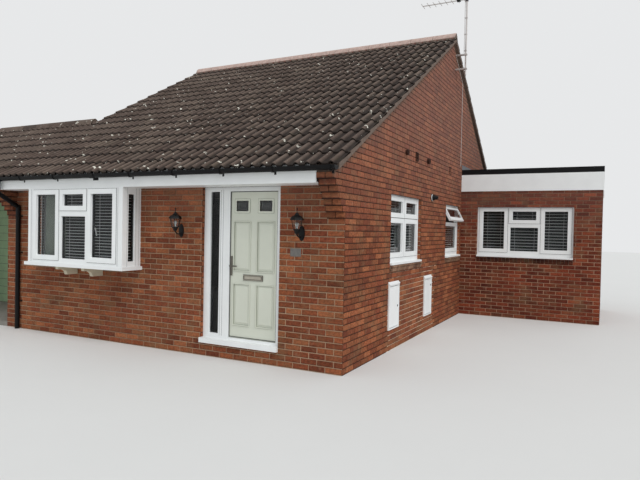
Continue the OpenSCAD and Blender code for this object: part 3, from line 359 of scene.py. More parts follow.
class Finish(Nodes):
    """A material with its shader and short calls for its patterns."""

    def __init__(self, name, rough, metal=0.0, specular=0.5):
        self.mat = bpy.data.materials.new(name)
        self.mat.use_nodes = True
        super().__init__(self.mat.node_tree)
        self.bsdf = self.tree.nodes["Principled BSDF"]
        self.bsdf.inputs["Roughness"].default_value = rough
        self.bsdf.inputs["Metallic"].default_value = metal
        self.bsdf.inputs["Specular IOR Level"].default_value = specular
        self.at = self.add("TexCoord").outputs["Object"]

    def noise(self, scale, detail=4.0, rough=0.6, stretch=None):
        """Cloudy noise of a number of spots a metre, squeezed by stretch along the three axes."""
        where = self.at
        if stretch:
            where = self.add("Mapping", {"Vector": self.at, "Scale": stretch}).outputs[0]
        inputs = {"Vector": where, "Scale": scale, "Detail": detail, "Roughness": rough}
        return self.add("TexNoise", inputs).outputs["Fac"]

    def steps(self, value, low, high, out_low=0.0, out_high=1.0):
        inputs = {0: value, 1: low, 2: high, 3: out_low, 4: out_high}
        return self.add("MapRange", inputs, clamp=True).outputs[0]

    def split(self, vector):
        return self.add("SeparateXYZ", {0: vector}).outputs

    def channels(self, source):
        return self.add("SeparateColor", {0: source}).outputs

    def tones(self):
        """The three numbers that the mesh carries."""
        return self.channels(self.add("Attribute", attribute_name="tone").outputs["Color"])

    def ramp(self, value, colours):
        made = self.add("ValToRGB", {0: value})
        made.color_ramp.elements[0].color = colours[0]
        made.color_ramp.elements[1].color = colours[2]
        made.color_ramp.elements.new(0.5).color = colours[1]
        return made.outputs[0]

    def blend(self, factor, a, b, kind="MIX"):
        return self.add("Mix", {0: factor, 6: a, 7: b}, data_type="RGBA", blend_type=kind).outputs[2]

    def grey(self, value):
        return self.add("CombineColor", {0: value, 1: value, 2: value}).outputs[0]

    def shaded(self, face, shade):
        return self.blend(1.0, face, self.grey(shade), "MULTIPLY")

    def base(self, socket):
        self.tree.links.new(socket, self.bsdf.inputs["Base Color"])

    def bump(self, height, distance, strength):
        inputs = {"Height": height, "Distance": distance, "Strength": strength}
        self.tree.links.new(self.add("Bump", inputs).outputs[0], self.bsdf.inputs["Normal"])


def colour(r, g, b):
    """A colour given as it looks on a screen, from 0 to 255."""
    def linear(c):
        c = c / 255
        return c / 12.92 if c <= 0.04045 else ((c + 0.055) / 1.055) ** 2.4
    return (linear(r), linear(g), linear(b), 1.0)


def shaded_indoors(f, place):
    """1 on the plastered inner faces of the main house, the extension and the bay's opening, which are given a
    dark grey as painted shade of the dim rooms.
    """
    rooms = ((HOUSE_LEFT + WALL_MID, -WALL_MID, WALL_MID, HOUSE_BACK - WALL_MID),
             (-WALL_MID, EXT_HI.x - WALL_MID, EXT_LO.y + WALL_MID, EXT_HI.y - WALL_MID))
    inside = [f.times(f.between(place["X"], x0, x1), f.between(place["Y"], y0, y1))
              for x0, x1, y0, y1 in rooms]
    reveal = f.times(f.between(place["X"], BAY_LO.x + REVEAL_IN, BAY_HI.x - REVEAL_IN),
                     f.between(place["Y"], -0.01, WALL_MID + 0.001), f.over(place["Z"], BAY_LO.z))
    return f.most(f.most(*inside), reveal)


def verge_stain(f, place):
    """How far rain has stained the gables just below the verges."""
    front = f.scaled(place["Y"], FRONT_RISE, EAVE_Z - EAVE_Y * FRONT_RISE)
    rear = f.scaled(place["Y"], -REAR_RISE, ROOF_HI.z + RIDGE_Y * REAR_RISE)
    below = f.calc("SUBTRACT", f.calc("MINIMUM", front, rear), place["Z"])
    below = f.plus(below, f.scaled(f.noise(7.0), -0.24, 0.12))
    on_gable = f.most(f.over(place["X"], -0.02), f.under(place["X"], HOUSE_LEFT + 0.02))
    return f.times(on_gable, f.steps(below, 0.12, STAIN_REACH, 0.65, 0.0))


def joint_colour(f, place, side, mortar, raked):
    """Mortar: darker where raked, dark mortar with painted shade in the recess; pale where it was pointed
    again, round the meter boxes; and near black in the joints in front of the wall faces, painted shade under
    the corbel steps.
    """
    joint = mortar
    if raked:
        first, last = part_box("meter_door_1")[0].y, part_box("meter_door_2")[1].y
        ragged = f.scaled(f.noise(5.0), 0.8, -0.4)
        pointed = f.times(f.steps(f.plus(place["Z"], ragged), *POINTED_HEAD, 1.0, 0.0),
                          f.between(f.plus(place["Y"], ragged), first, last + BRICK),
                          f.over(place["X"], -WALL_MID))
        joint = f.blend(f.times(side, pointed), joint, colour(232, 208, 180))
        # Raked joints: dark mortar with painted shade in their recess.
        joint = f.blend(f.times(side, f.rest(pointed)), joint, raked)
    # Painted shade: joints that stand in front of the wall faces, in the stepped corbels, are near black.
    corbel_shade = f.most(f.under(place["Y"], -0.015), f.over(place["Y"], HOUSE_BACK + 0.015))
    return f.blend(corbel_shade, joint, colour(52, 30, 22))


def brick_finish(name, faces, mortar, toned, raked=None):
    """Brick with its joints. faces are three brick colours; toned bricks take theirs from the mesh.
    raked is the darker colour of joints on walls that face along X, except round the meter boxes: dark mortar
    with painted shade in the recess."""
    f = Finish(name, 0.92, specular=0.25)
    place = f.split(f.at)
    grain = f.noise(160.0, 6.0, 0.7)
    drag = f.noise(3.0, stretch=(14.0, 14.0, 120.0))
    patch = f.noise(1.3, 3.0, 0.5)
    blotch = f.noise(30.0, 5.0, 0.7, (1.0, 1.0, 1.5))
    if toned:
        pick = f.tones()
    else:
        facing = f.split(f.add("NewGeometry").outputs["True Normal"])
        side = f.over(f.calc("ABSOLUTE", facing["X"]), 0.7)
        along = f.plus(f.times(place["Y"], side), f.times(place["X"], f.rest(side)))
        row = f.calc("FLOOR", f.calc("DIVIDE", place["Z"], COURSE))
        odd = f.times(f.calc("FLOORED_MODULO", f.plus(row, side), 2.0), 0.5)
        column = f.plus(f.calc("DIVIDE", f.plus(along, JOINT / 2), BRICK), odd)
        cell = f.add("CombineXYZ", {0: f.calc("FLOOR", column), 1: row}).outputs[0]
        chance = f.add("TexWhiteNoise", {"Vector": cell}, noise_dimensions="3D")
        pick = f.channels(chance.outputs["Color"])
    shade = f.times(f.scaled(drag, 0.9, 0.50), f.steps(pick[1], 0.0, 1.0, 0.72, 1.18),
                    f.steps(patch, 0.3, 0.7, 0.84, 1.12), f.steps(grain, 0.3, 0.75, 0.72, 1.2),
                    f.steps(blotch, 0.34, 0.66, 0.56, 1.44))
    face = f.shaded(f.ramp(pick[0], faces), shade)
    face = f.blend(f.steps(f.noise(9.0, 5.0, 0.65), 0.58, 0.8, 0.0, 0.4), face, mortar)
    face = f.blend(f.steps(f.noise(3.2, 5.0, 0.7), 0.50, 0.68, 0.0, 0.5), face, colour(126, 98, 70))
    in_v = f.times(f.calc("FRACT", f.calc("DIVIDE", place["Z"], COURSE)), COURSE)
    # Painted shade: the lowest part of each brick, just above its bed joint, is darkened.
    face = f.shaded(face, f.steps(in_v, JOINT, JOINT_SHADE_REACH, JOINT_SHADE, 1.0))
    face = f.blend(f.steps(place["Z"], *FADING, 0.0, 0.5), face, colour(134, 100, 90))
    face = f.blend(verge_stain(f, place), face, colour(112, 98, 84))
    height = f.plus(f.times(drag, 0.6), f.times(grain, 0.4))
    if toned:
        f.base(face)
        f.bump(height, 0.003, 0.8)
        return f.mat
    in_u = f.times(f.calc("FRACT", column), BRICK)
    wobble = f.times(f.calc("SUBTRACT", f.noise(60.0), 0.5), 0.004)
    is_brick = f.times(f.over(f.plus(in_u, wobble), JOINT), f.over(f.plus(in_v, wobble), JOINT))
    # Joints darken in patches as dirt, and more with height from 1.5 m to 2.4 m as painted shade.
    joint_dirt_and_shade = f.times(f.steps(grain, 0.2, 0.8, 0.75, 1.2), f.steps(f.noise(0.7), 0.4, 0.62, 1.05, 0.62),
                    f.steps(place["Z"], *JOINT_SHADE_RISE, 1.0, 0.5))
    paste = f.shaded(joint_colour(f, place, side, mortar, raked), joint_dirt_and_shade)
    outside = f.blend(is_brick, paste, face)
    # Painted shade: faces that look down, such as the undersides of the corbel steps, are near black.
    underside_shade = f.under(f.split(f.add("NewGeometry").outputs["Normal"])["Z"], -0.7)
    outside = f.blend(underside_shade, outside, colour(56, 32, 24))
    # Painted shade: the inner faces are a dark grey, standing for the dimness of the closed rooms.
    f.base(f.blend(shaded_indoors(f, place), outside, colour(76, 82, 80)))
    f.bump(f.plus(height, f.times(is_brick, 1.5)), 0.004, 0.8)
    return f.mat


def tile_finish(name, browns, lichen_share):
    """Weathered concrete tiles: each its own tone, with moss, lichen and dirt, painted shade in the pans and on
    the tails, and a painted highlight on the roll tops.
    """
    f = Finish(name, 0.9, specular=0.3)
    tone = f.tones()
    grain = f.noise(220.0, 6.0, 0.75)
    # The third tone darkens the pans and tails as painted shade and lifts the roll tops as a painted highlight.
    shade = f.times(f.steps(grain, 0.3, 0.75, 0.6, 1.35), f.steps(f.noise(7.0, 5.0), 0.3, 0.7, 0.8, 1.2),
                    f.steps(tone[1], 0.0, 1.0, 0.9, 1.1), f.steps(tone[2], 0.0, 0.9, 0.26, 1.2))
    face = f.shaded(f.ramp(tone[0], browns), shade)
    face = f.blend(f.steps(f.noise(5.0, 6.0, 0.7), 0.56, 0.72, 0.0, 0.35), face, colour(66, 62, 44))
    spots = f.times(f.steps(f.noise(11.0, 3.0, 0.5), 0.71 - lichen_share, 0.73 - lichen_share),
                    f.steps(f.noise(70.0), 0.38, 0.5))
    f.base(f.blend(spots, face, colour(232, 228, 214)))
    f.bump(f.plus(grain, f.times(spots, 0.5)), 0.003, 0.7)
    return f.mat


def coat_finish(name, shade, rough, wear, scale, grain=0.0004, metal=0.0, specular=0.5):
    """Paint, plastic or metal: a plain colour, a little darker and lighter in clouds, with fine grain."""
    f = Finish(name, rough, metal, specular)
    fine = f.noise(300.0)
    lift = f.plus(f.steps(f.noise(scale, 6.0, 0.65), 0.3, 0.7, 1.0 - wear, 1.0),
                  f.steps(fine, 0.3, 0.7, -wear / 4, 0.0))
    f.base(f.shaded(colour(*shade), lift))
    f.bump(fine, grain, 0.5)
    return f.mat


def glass_finish(name, rough, clear):
    f = Finish(name, rough)
    f.bsdf.inputs["Transmission Weight"].default_value = clear
    f.bsdf.inputs["IOR"].default_value = 1.22
    f.base(f.grey(f.steps(f.noise(2.0), 0.3, 0.7, 0.90, 0.96)))
    return f.mat


# Each coat: colour, roughness, wear, clouds a metre, depth of grain, metal, specular
COATS = {
    "ridge_clay": ((208, 180, 168), 0.85, 0.4, 14.0, 0.002),
    "mortar": ((128, 118, 104), 0.95, 0.35, 14.0, 0.003),
    "ridge_slips": ((136, 88, 76), 0.9, 0.5, 20.0, 0.002),
    "verge_mortar": ((124, 106, 94), 0.95, 0.5, 30.0, 0.006),
    "white_plastic": ((244, 246, 245), 0.35, 0.08, 2.5),
    "black_plastic": ((9, 9, 11), 0.5, 0.25, 4.0, 0.0004, 0.0, 0.2),
    "cream_paint": ((214, 206, 182), 0.6, 0.2, 8.0),
    "sage_paint": ((216, 219, 204), 0.42, 0.06, 3.0),
    "sage_shadow": ((158, 164, 148), 0.6, 0.06, 3.0),
    "satin_metal": ((118, 114, 106), 0.3, 0.15, 20.0, 0.0003, 1.0),
    "silver_metal": ((188, 182, 168), 0.35, 0.15, 20.0, 0.0003, 1.0),
    "roof_felt": ((96, 96, 98), 0.95, 0.3, 5.0, 0.003),
    "green_paint": ((178, 212, 170), 0.5, 0.2, 5.0),
    # Dark green for the grooves of the garage door: painted shade.
    "green_groove_shade": ((74, 96, 72), 0.8, 0.3, 9.0),
    "frame_shadow": ((140, 142, 142), 0.7, 0.1, 4.0),
    "black_iron": ((10, 10, 11), 0.5, 0.2, 12.0, 0.0004, 0.0, 0.25),
    "slate": ((122, 118, 114), 0.7, 0.35, 40.0, 0.002),
    "brown_plastic": ((62, 38, 30), 0.75, 0.25, 12.0, 0.0004, 0.0, 0.2),
    "weathered_aluminium": ((208, 202, 198), 0.42, 0.2, 14.0, 0.0004, 0.5),
    "concrete": ((150, 146, 138), 0.9, 0.25, 4.0, 0.002),
    # The ceiling plaster is a mid grey: pale plaster with painted shade of the dim rooms.
    "plaster": ((132, 136, 134), 0.9, 0.08, 3.0),
    "seal": ((56, 56, 58), 0.7, 0.1, 4.0),
    "louvres": ((112, 122, 112), 0.6, 0.1, 4.0),
    "blind_slats": ((222, 230, 230), 0.55, 0.06, 4.0),
    "lead": ((112, 116, 120), 0.6, 0.3, 10.0, 0.001, 0.4),
    "floor": ((222, 221, 218), 0.9, 0.02, 0.5),
}

# Each brick: three face colours, mortar, whether the mesh gives its tone, and raked joints, whose colour is
# dark mortar with painted shade in the recess
FACES = (colour(124, 64, 42), colour(144, 80, 50), colour(158, 96, 62))
EXT_FACES = (colour(96, 40, 26), colour(122, 54, 34), colour(142, 70, 44))
# The extension's sill bricks are darker than its wall: their own tone with painted shade under the white sill.
EXT_SILL_SHADED_FACES = (colour(66, 32, 22), colour(82, 40, 27), colour(98, 50, 34))
# Sill bricks are paler than the wall: partly weathering, partly painted highlight on their sloping tops.
SILL_FACES = (colour(120, 84, 66), colour(140, 106, 84), colour(156, 124, 100))
BRICKS = {
    "brick_laid": (FACES, colour(172, 148, 122), True),
    "brick_on_edge": (SILL_FACES, colour(172, 148, 122), True),
    "brick_and_joints": (FACES, colour(196, 172, 144), False, colour(66, 40, 30)),
    "extension_brick_laid": (EXT_FACES, colour(176, 158, 138), True),
    "extension_brick_on_edge": (EXT_SILL_SHADED_FACES, colour(120, 92, 74), True),
    "extension_brick_and_joints": (EXT_FACES, colour(204, 172, 144), False),
}
BROWNS = (colour(86, 72, 64), colour(96, 82, 74), colour(106, 92, 82))
GLASS = {"window_glass": (0.02, 1.0), "lantern_glass": (0.12, 1.0), "frosted_glass": (0.45, 0.96)}

M = {name: coat_finish(name, *coat) for name, coat in COATS.items()}
M.update({name: brick_finish(name, *brick) for name, brick in BRICKS.items()})
M.update({name: glass_finish(name, *glass) for name, glass in GLASS.items()})
M["roof_tile"] = tile_finish("roof_tile", BROWNS, 0.032)

NODE_FINISH = {
    "brick_and_joints": ("front_wall", "front_wall_at_door", "right_gable_wall", "left_gable_wall",
                         "rear_wall", "garage_party_wall", "garage_walls", "brick_sills"),
    "extension_brick_and_joints": ("ext_front_wall", "ext_side_wall", "ext_rear_wall"),
    "mortar": ("roof_front", "roof_rear", "garage_roof"),
    "ridge_clay": ("ridge_tiles",),
    "white_plastic": ("fascias", "soffits", "bay_frame", "bay_sill", "door_frame", "door_sill",
                      "window_frames", "white_sills", "ext_fascia", "meter_housings", "meter_door_1",
                      "meter_door_2"),
    "black_plastic": ("gutters", "downpipes", "ext_edge_trim", "security_light"),
    "cream_paint": ("bay_brackets",),
    "sage_paint": ("door_leaf",),
    "window_glass": ("window_glass",),
    "frosted_glass": ("door_panes",),
    "satin_metal": ("door_furniture", "door_hinges"),
    "roof_felt": ("ext_roof",),
    "green_paint": ("garage_door",),
    "black_iron": ("wall_lanterns",),
    "slate": ("number_plate",),
    "brown_plastic": ("gable_vents",),
    "weathered_aluminium": ("aerial",),
    "concrete": ("floor_slabs",),
    "plaster": ("ceiling",),
}
for finish, names in NODE_FINISH.items():
    for name in names:
        NODES[name].data.materials.clear()
        NODES[name].data.materials.append(M[finish])


# Bricks
def cut_out(cells, hole):
    """Rectangles (u0, u1, v0, v1) with a rectangular hole taken out of them."""
    left = []
    for u0, u1, v0, v1 in cells:
        a, b = max(u0, hole[0]), min(u1, hole[1])
        c, d = max(v0, hole[2]), min(v1, hole[3])
        if a >= b or c >= d:
            left.append((u0, u1, v0, v1))
            continue
        left += [(u0, a, v0, v1), (b, u1, v0, v1), (a, b, v0, c), (a, b, d, v1)]
    return [r for r in left if r[1] - r[0] > JOINT and r[3] - r[2] > JOINT]


def clip(outline, top):
    """The part of an outline in u and v that lies below the line v = top[0] + top[1] * u."""
    kept = []
    for (u0, v0), (u1, v1) in zip(outline, outline[1:] + outline[:1]):
        d0 = top[0] + top[1] * u0 - v0
        d1 = top[0] + top[1] * u1 - v1
        if d0 >= 0:
            kept.append((u0, v0))
        if d0 * d1 < 0:
            t = d0 / (d0 - d1)
            kept.append((u0 + t * (u1 - u0), v0 + t * (v1 - v0)))
    return kept


def area(outline):
    return abs(sum(a[0] * b[1] - b[0] * a[1] for a, b in zip(outline, outline[1:] + outline[:1]))) / 2


def on_wall(way, face):
    """Places on the wall face that looks one way, from distances along it, out of it and up."""
    out = Vector(WAYS[way])
    start = Vector((abs(out.x), abs(out.y), 0)) * face
    along = Vector((abs(out.y), abs(out.x), 0))

    def place(u, d, z):
        return start + along * u + out * d + Vector((0, 0, z))
    return place


def lay_bricks(bits, draw, way, face, spans, holes=(), tops=(), joint=JOINT):
    """Lays bricks on a wall face. spans gives the start and end along the wall for each course."""
    place = on_wall(way, face)
    out = Vector(WAYS[way])
    odd = 0 if out.y else 1
    for row, (start, end) in spans:
        cells = [(start, end, row * COURSE + joint, (row + 1) * COURSE)]
        for hole in holes:
            cells = cut_out(cells, hole)
        shift = BRICK / 2 if (row + odd) % 2 else 0.0
        for u0, u1, low, high in cells:
            for k in range(math.floor((u0 - shift) / BRICK), math.ceil((u1 - shift) / BRICK)):
                a = max(u0, k * BRICK + shift + JOINT / 2)
                b = min(u1, (k + 1) * BRICK + shift - JOINT / 2)
                if b - a < JOINT:
                    continue
                outline = [(a, low), (b, low), (b, high), (a, high)]
                for top in tops:
                    outline = clip(outline, top)
                if len(outline) < 3 or area(outline) < JOINT * JOINT:
                    continue
                proud = BRICK_PROUD + draw.uniform(-UNEVEN, UNEVEN)
                corners = [place(u, -BRICK_SUNK, v) for u, v in outline]
                bits.prism(corners, out * (proud + BRICK_SUNK), draw.uniform(0, 1, 3))


def courses(low, high, start, end):
    """The same start and end for every course between two heights."""
    return [(row, (start, end)) for row in range(round(low / COURSE), math.ceil(high / COURSE - 1e-6))]


def corbel_out(row):
    step = min(row - CORBEL_ROW, CORBEL_LAST)
    return CORBEL_FIRST + CORBEL_STEP * step if step >= 0 else 0.0


def way_of(sill):
    """The way that the wall over a brick sill looks. The front one is the extension's."""
    lo, hi = sill
    if hi[0] - lo[0] < hi[1] - lo[1]:
        return "right"
    return "back" if lo[1] > HOUSE_BACK - 0.1 else "front"


def window_holes(way):
    """Openings and brick sills of the windows of one wall: left, right, foot, head along it."""
    axis = 1 if way == "right" else 0
    return [(sill[0][axis], sill[1][axis], sill[0][2], WINDOW_HEAD) for sill in parts_of("brick_sills")
            if way_of(sill) == way]


def front_holes():
    """Openings of the door set and the bay."""
    return [(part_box(opening)[0].x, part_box(opening)[1].x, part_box(sill)[0].z, SOFFIT)
            for opening, sill in (("door_frame", "door_sill"), ("bay_frame", "bay_sill"))]


def long_wall_bricks(name, way, face, holes, seed):
    """The front or the back of the main house, with the stepped corbels at its ends."""
    bits, draw = Bits(), np.random.RandomState(seed)
    ends = (-CORBEL_W, HOUSE_LEFT)
    holes = holes + [(x, x + CORBEL_W, CORBEL_ROW * COURSE, SOFFIT) for x in ends]
    lay_bricks(bits, draw, way, face, courses(0, SOFFIT, HOUSE_LEFT, 0), holes, [(SOFFIT, 0)])
    for x in ends:
        for row in range(CORBEL_ROW, CORBEL_ROW + CORBEL_LAST + 1):
            step = face + WAYS[way][1] * corbel_out(row)
            lay_bricks(bits, draw, way, step, [(row, (x, x + CORBEL_W))], joint=CORBEL_JOINT)
    bits.piece(name, "brick_laid", "brick")


def gable_bricks(name, way, face, holes, seed):
    bits, draw = Bits(), np.random.RandomState(seed)
    node = way + "_gable_wall"
    lift = DECK_DEPTH - VERGE_DEPTH
    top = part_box(node)[1].z + lift
    eave = top_at(node, 0.0) + lift
    back = top_at(node, HOUSE_BACK) + lift
    rear_rise = (top - back) / (HOUSE_BACK - RIDGE_Y)
    tops = [(eave, (top - eave) / RIDGE_Y), (top + rear_rise * RIDGE_Y, -rear_rise)]
    spans = []
    for row in range(math.ceil(top / COURSE)):
        reach = corbel_out(row) if row * COURSE < eave else 0.0
        spans.append((row, (-reach, HOUSE_BACK + reach)))
    lay_bricks(bits, draw, way, face, spans, holes, tops)
    bits.piece(name, "brick_laid", "brick")


def right_gable_holes():
    """Windows, meter boxes and everything behind the extension."""
    board_lo, board_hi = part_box("ext_fascia")
    holes = window_holes("right")
    holes += [(lo[1], hi[1], lo[2], hi[2]) for lo, hi in parts_of("meter_housings")]
    holes.append((EXT_LO.y, EXT_HI.y, 0, board_lo.z))
    return holes + [(board_lo.y, board_hi.y, board_lo.z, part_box("ext_edge_trim")[1].z)]


def extension_bricks():
    bits, draw = Bits(), np.random.RandomState(16)
    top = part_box("ext_fascia")[0].z
    rows = courses(0, top, 0, EXT_HI.x)
    lay_bricks(bits, draw, "front", EXT_LO.y, rows, window_holes("front"), [(top, 0)])
    lay_bricks(bits, draw, "back", EXT_HI.y, rows, (), [(top, 0)])
    lay_bricks(bits, draw, "right", EXT_HI.x, courses(0, top, EXT_LO.y, EXT_HI.y), (), [(top, 0)])
    bits.piece("extension_bricks", "extension_brick_laid", "extension_brick")


def garage_bricks():
    bits, draw = Bits(), np.random.RandomState(17)
    lo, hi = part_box("garage_party_wall")
    walls_lo, walls_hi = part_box("garage_walls")
    door_lo, door_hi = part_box("garage_door")
    lift = DECK_DEPTH - VERGE_DEPTH
    foot = top_at("garage_party_wall", lo.y)
    rise = (hi.z - foot) / LOW_RIDGE_Y
    tops = [(foot + lift, rise), (hi.z + lift + rise * LOW_RIDGE_Y, -rise)]
    below_soffit = [(SOFFIT, 0)]
    lay_bricks(bits, draw, "left", lo.x, courses(0, hi.z + lift, lo.y, hi.y), (), tops)
    lay_bricks(bits, draw, "right", hi.x, courses(0, SOFFIT, lo.y, walls_lo.y), (), below_soffit)
    lay_bricks(bits, draw, "front", lo.y, courses(0, SOFFIT, lo.x, hi.x), (), below_soffit)
    hole = (door_lo.x, door_hi.x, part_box("floor_slabs")[0].z, door_hi.z)
    front = courses(GARAGE_FLOOR, SOFFIT, hi.x, HOUSE_LEFT)
    lay_bricks(bits, draw, "front", walls_lo.y, front, [hole], below_soffit)
    top = top_at("garage_walls", walls_hi.y)
    lay_bricks(bits, draw, "back", walls_hi.y, courses(0, top, lo.x, HOUSE_LEFT), (), [(top, 0)])
    bits.piece("garage_bricks", "brick_laid", "brick")


def sill_bricks():
    """Bricks on edge under each window, with a sloping top, over a bed of mortar."""
    bits, dark, bed, draw = Bits(), Bits(), Bits(), np.random.RandomState(18)
    for sill in parts_of("brick_sills"):
        lo, hi = sill
        way = way_of(sill)
        axis = 1 if way == "right" else 0
        u0, u1 = lo[axis], hi[axis]
        reach = hi[1 - axis] - lo[1 - axis]
        place = on_wall(way, {"right": 0.0, "back": HOUSE_BACK, "front": hi[1]}[way])
        nose = reach + SILL_NOSE
        foot = lo[2] + 0.006
        outline = [(0, hi[2]), (nose, hi[2] - 0.020), (nose - SILL_SLOPE, foot), (0, foot)]
        count = round((u1 - u0) / COURSE)
        step = (u1 - u0) / count
        for k in range(count):
            a = u0 + k * step + JOINT / 2
            drop = draw.uniform(-UNEVEN, UNEVEN)
            run = place(a + step - JOINT, 0, 0) - place(a, 0, 0)
            # Sill bricks under the extension's window take the darker finish that holds painted shade.
            laid = dark if way == "front" else bits
            laid.prism([place(a, d, z + drop) for d, z in outline], run, draw.uniform(0, 1, 3))
        a, b = u0 + 0.001, u1 - 0.001
        section = [(-0.01, hi[2] - 0.004), (reach - 0.006, hi[2] - 0.026), (reach - 0.026, lo[2] + 0.010),
                   (-0.01, lo[2] + 0.010)]
        bed.prism([place(a, d, z) for d, z in section], place(b, 0, 0) - place(a, 0, 0))
    laid = bits.piece("sill_bricks", "brick_on_edge", "brick")
    dark.piece("extension_sill_bricks", "extension_brick_on_edge", "extension_brick")
    bed.piece("sill_mortar", "mortar", "brick")
    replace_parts(laid, "brick_sills")


# Roof tiles
def tile_heights(width):
    """Across one tile: places and heights of its pans and rolls."""
    pitch = width / ROLLS
    shares = [0.0] + [0.5 + ROLL_SHARE * (i / 6 - 0.5) for i in range(7)]
    across, heights = [], []
    for roll in range(ROLLS):
        for share in shares:
            turn = (share - 0.5) / ROLL_SHARE
            arch = math.cos(math.pi * turn) if abs(turn) < 0.5 else 0.0
            across.append(pitch * (roll + share))
            heights.append(ROLL_H * max(arch, 0.0) ** 0.75)
    return np.array(across + [width]), np.array(heights + [0.0])


def lay_tiles(name, corner, slope, x0, x1, count, gauge, length, back, seed):
    """Tiles from the eaves corner up the slope. slope is its angle; back is true on the rear side."""
    draw = np.random.RandomState(seed)
    bits = Bits()
    width = (x1 - x0) / count
    across, heights = tile_heights(width)
    n = len(across)
    way = -1 if back else 1
    up = np.array([0, way * math.cos(slope), math.sin(slope)])
    normal = np.array([0, -way * math.sin(slope), math.cos(slope)])
    base = np.array([0, corner[0], corner[1]])
    faces = []
    for ring in range(5):
        nxt = (ring + 1) % 5
        faces += [(ring * n + i, ring * n + i + 1, nxt * n + i + 1, nxt * n + i) for i in range(n - 1)]
    faces += [tuple(range(0, 5 * n, n)), tuple(range(5 * n - 1, 0, -n))]
    if back:
        faces = [f[::-1] for f in faces]
    # Third tone across each tile: low in the pans and on the tail faces for painted shade, high on the roll
    # tops for a painted highlight.
    share = heights / ROLL_H
    shaded = np.concatenate([share * 0.0, share * 0.15, share, share * 0.85, share * 0.2])
    for row in range(math.ceil(length / gauge - 0.02)):
        tail = row * gauge
        head = min(tail + gauge + TILE_LAP, length)
        drop = TILE_LIFT * (head - tail) / gauge
        rims = ((tail, TILE_T, 0.0), (tail, NOSE, 0.0), (tail + NOSE, 0.0, 0.0), (head, 0.0, drop),
                (head, TILE_T, drop))
        for column in range(count):
            lift = PAN_LOW + TILE_LIFT + draw.uniform(-0.0015, 0.0015)
            slip = draw.uniform(-TILE_SLIP, TILE_SLIP)
            skew = draw.uniform(-TILE_SLIP, TILE_SLIP)
            rings = []
            for s, depth, fall in rims:
                rise = np.outer(heights + lift - depth - fall, normal)
                place = base + np.outer(np.full(n, s + slip), up) + rise
                place[:, 0] += x0 + column * width + across
                if s < head:
                    place += np.outer(skew * (across / width - 0.5), up)
                rings.append(place)
            hue, dark = draw.uniform(0, 1, 2)
            tone = np.column_stack([np.full(5 * n, hue), np.full(5 * n, dark), shaded])
            bits.add(np.vstack(rings), faces, tone)
    bits.piece(name, "roof_tile", "roof_tiles", smooth_under=50)


def front_line(y):
    return EAVE_Z + (y - EAVE_Y) * FRONT_RISE


def rear_line(y):
    return ROOF_HI.z - (y - RIDGE_Y) * REAR_RISE


def low_line(y):
    return front_line(LOW_RIDGE_Y) - (y - LOW_RIDGE_Y) * FRONT_RISE


def slab(bits, line, y0, y1, lower, x0, x1):
    """Part of a roof slope down to a depth below the tiles. line gives the height of the tiles at y."""
    outline = [(y0, line(y0) - DECK_DROP), (y1, line(y1) - DECK_DROP), (y1, line(y1) - lower),
               (y0, line(y0) - lower)]
    bits.run_x(x0, x1 - x0, outline)


def main_decks():
    """Boards and battens under the tiles, and the shallower mortar of the verges past both gables."""
    gable = HOUSE_LEFT + 0.001
    for name, line, y0, y1 in (("roof_front", front_line, -FASCIA_OUT, RIDGE_Y),
                               ("roof_rear", rear_line, RIDGE_Y, HOUSE_BACK + FASCIA_OUT)):
        bits = Bits()
        slab(bits, line, y0, y1, DECK_DEPTH, gable, -0.001)
        slab(bits, line, y0, y1, VERGE_DEPTH, -0.001, ROOF_HI.x)
        slab(bits, line, y0, y1, VERGE_DEPTH, ROOF_LO.x, gable)
        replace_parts(bits.piece(name + "_deck", "verge_mortar", "roof_tiles"), name)


def low_deck():
    bits = Bits()
    low_back = LOW_HI.y - (FASCIA_TIP - FASCIA_OUT)
    slab(bits, front_line, -FASCIA_OUT, LOW_RIDGE_Y, DECK_DEPTH, LOW_LO.x, ROOF_LO.x)
    slab(bits, low_line, LOW_RIDGE_Y, low_back, DECK_DEPTH, LOW_LO.x, ROOF_LO.x)
    slab(bits, low_line, LOW_RIDGE_Y + FASCIA_TIP, low_back, DECK_DEPTH, ROOF_LO.x, HOUSE_LEFT)
    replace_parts(bits.piece("garage_roof_deck", "verge_mortar", "roof_tiles"), "garage_roof")


def tiled_roofs():
    front, rear, low = (EAVE_Y, EAVE_Z), (REAR_Y, REAR_Z), (LOW_HI.y, low_line(LOW_HI.y))
    rear_gauge = REAR_LENGTH / round(REAR_LENGTH / GAUGE)
    low_gauge = LOW_LENGTH / round(LOW_LENGTH / GAUGE)
    house = (ROOF_LO.x, ROOF_HI.x, TILES_ACROSS)
    garage = (LOW_LO.x, ROOF_LO.x, LOW_ACROSS)
    lay_tiles("front_tiles", front, FRONT_ANGLE, *house, GAUGE, FRONT_LENGTH, False, 21)
    lay_tiles("rear_tiles", rear, REAR_ANGLE, *house, rear_gauge, REAR_LENGTH, True, 22)
    lay_tiles("garage_front_tiles", front, FRONT_ANGLE, *garage, GAUGE, LOW_LENGTH, False, 23)
    lay_tiles("garage_rear_tiles", low, FRONT_ANGLE, *garage, low_gauge, LOW_LENGTH, True, 24)


def ridge_outline(y, z, falls, half, top, sink):
    """An arch over the ridge, from its front edge to its back edge."""
    shape = []
    for k in range(RIDGE_ARC + 1):
        u = -1 + 2 * k / RIDGE_ARC
        drop = half * abs(u) * (falls[0] if u < 0 else falls[1])
        shape.append((y + half * u, z - drop + (top + drop * 0.35) * (1 - abs(u) ** 2.6) - sink))
    return shape


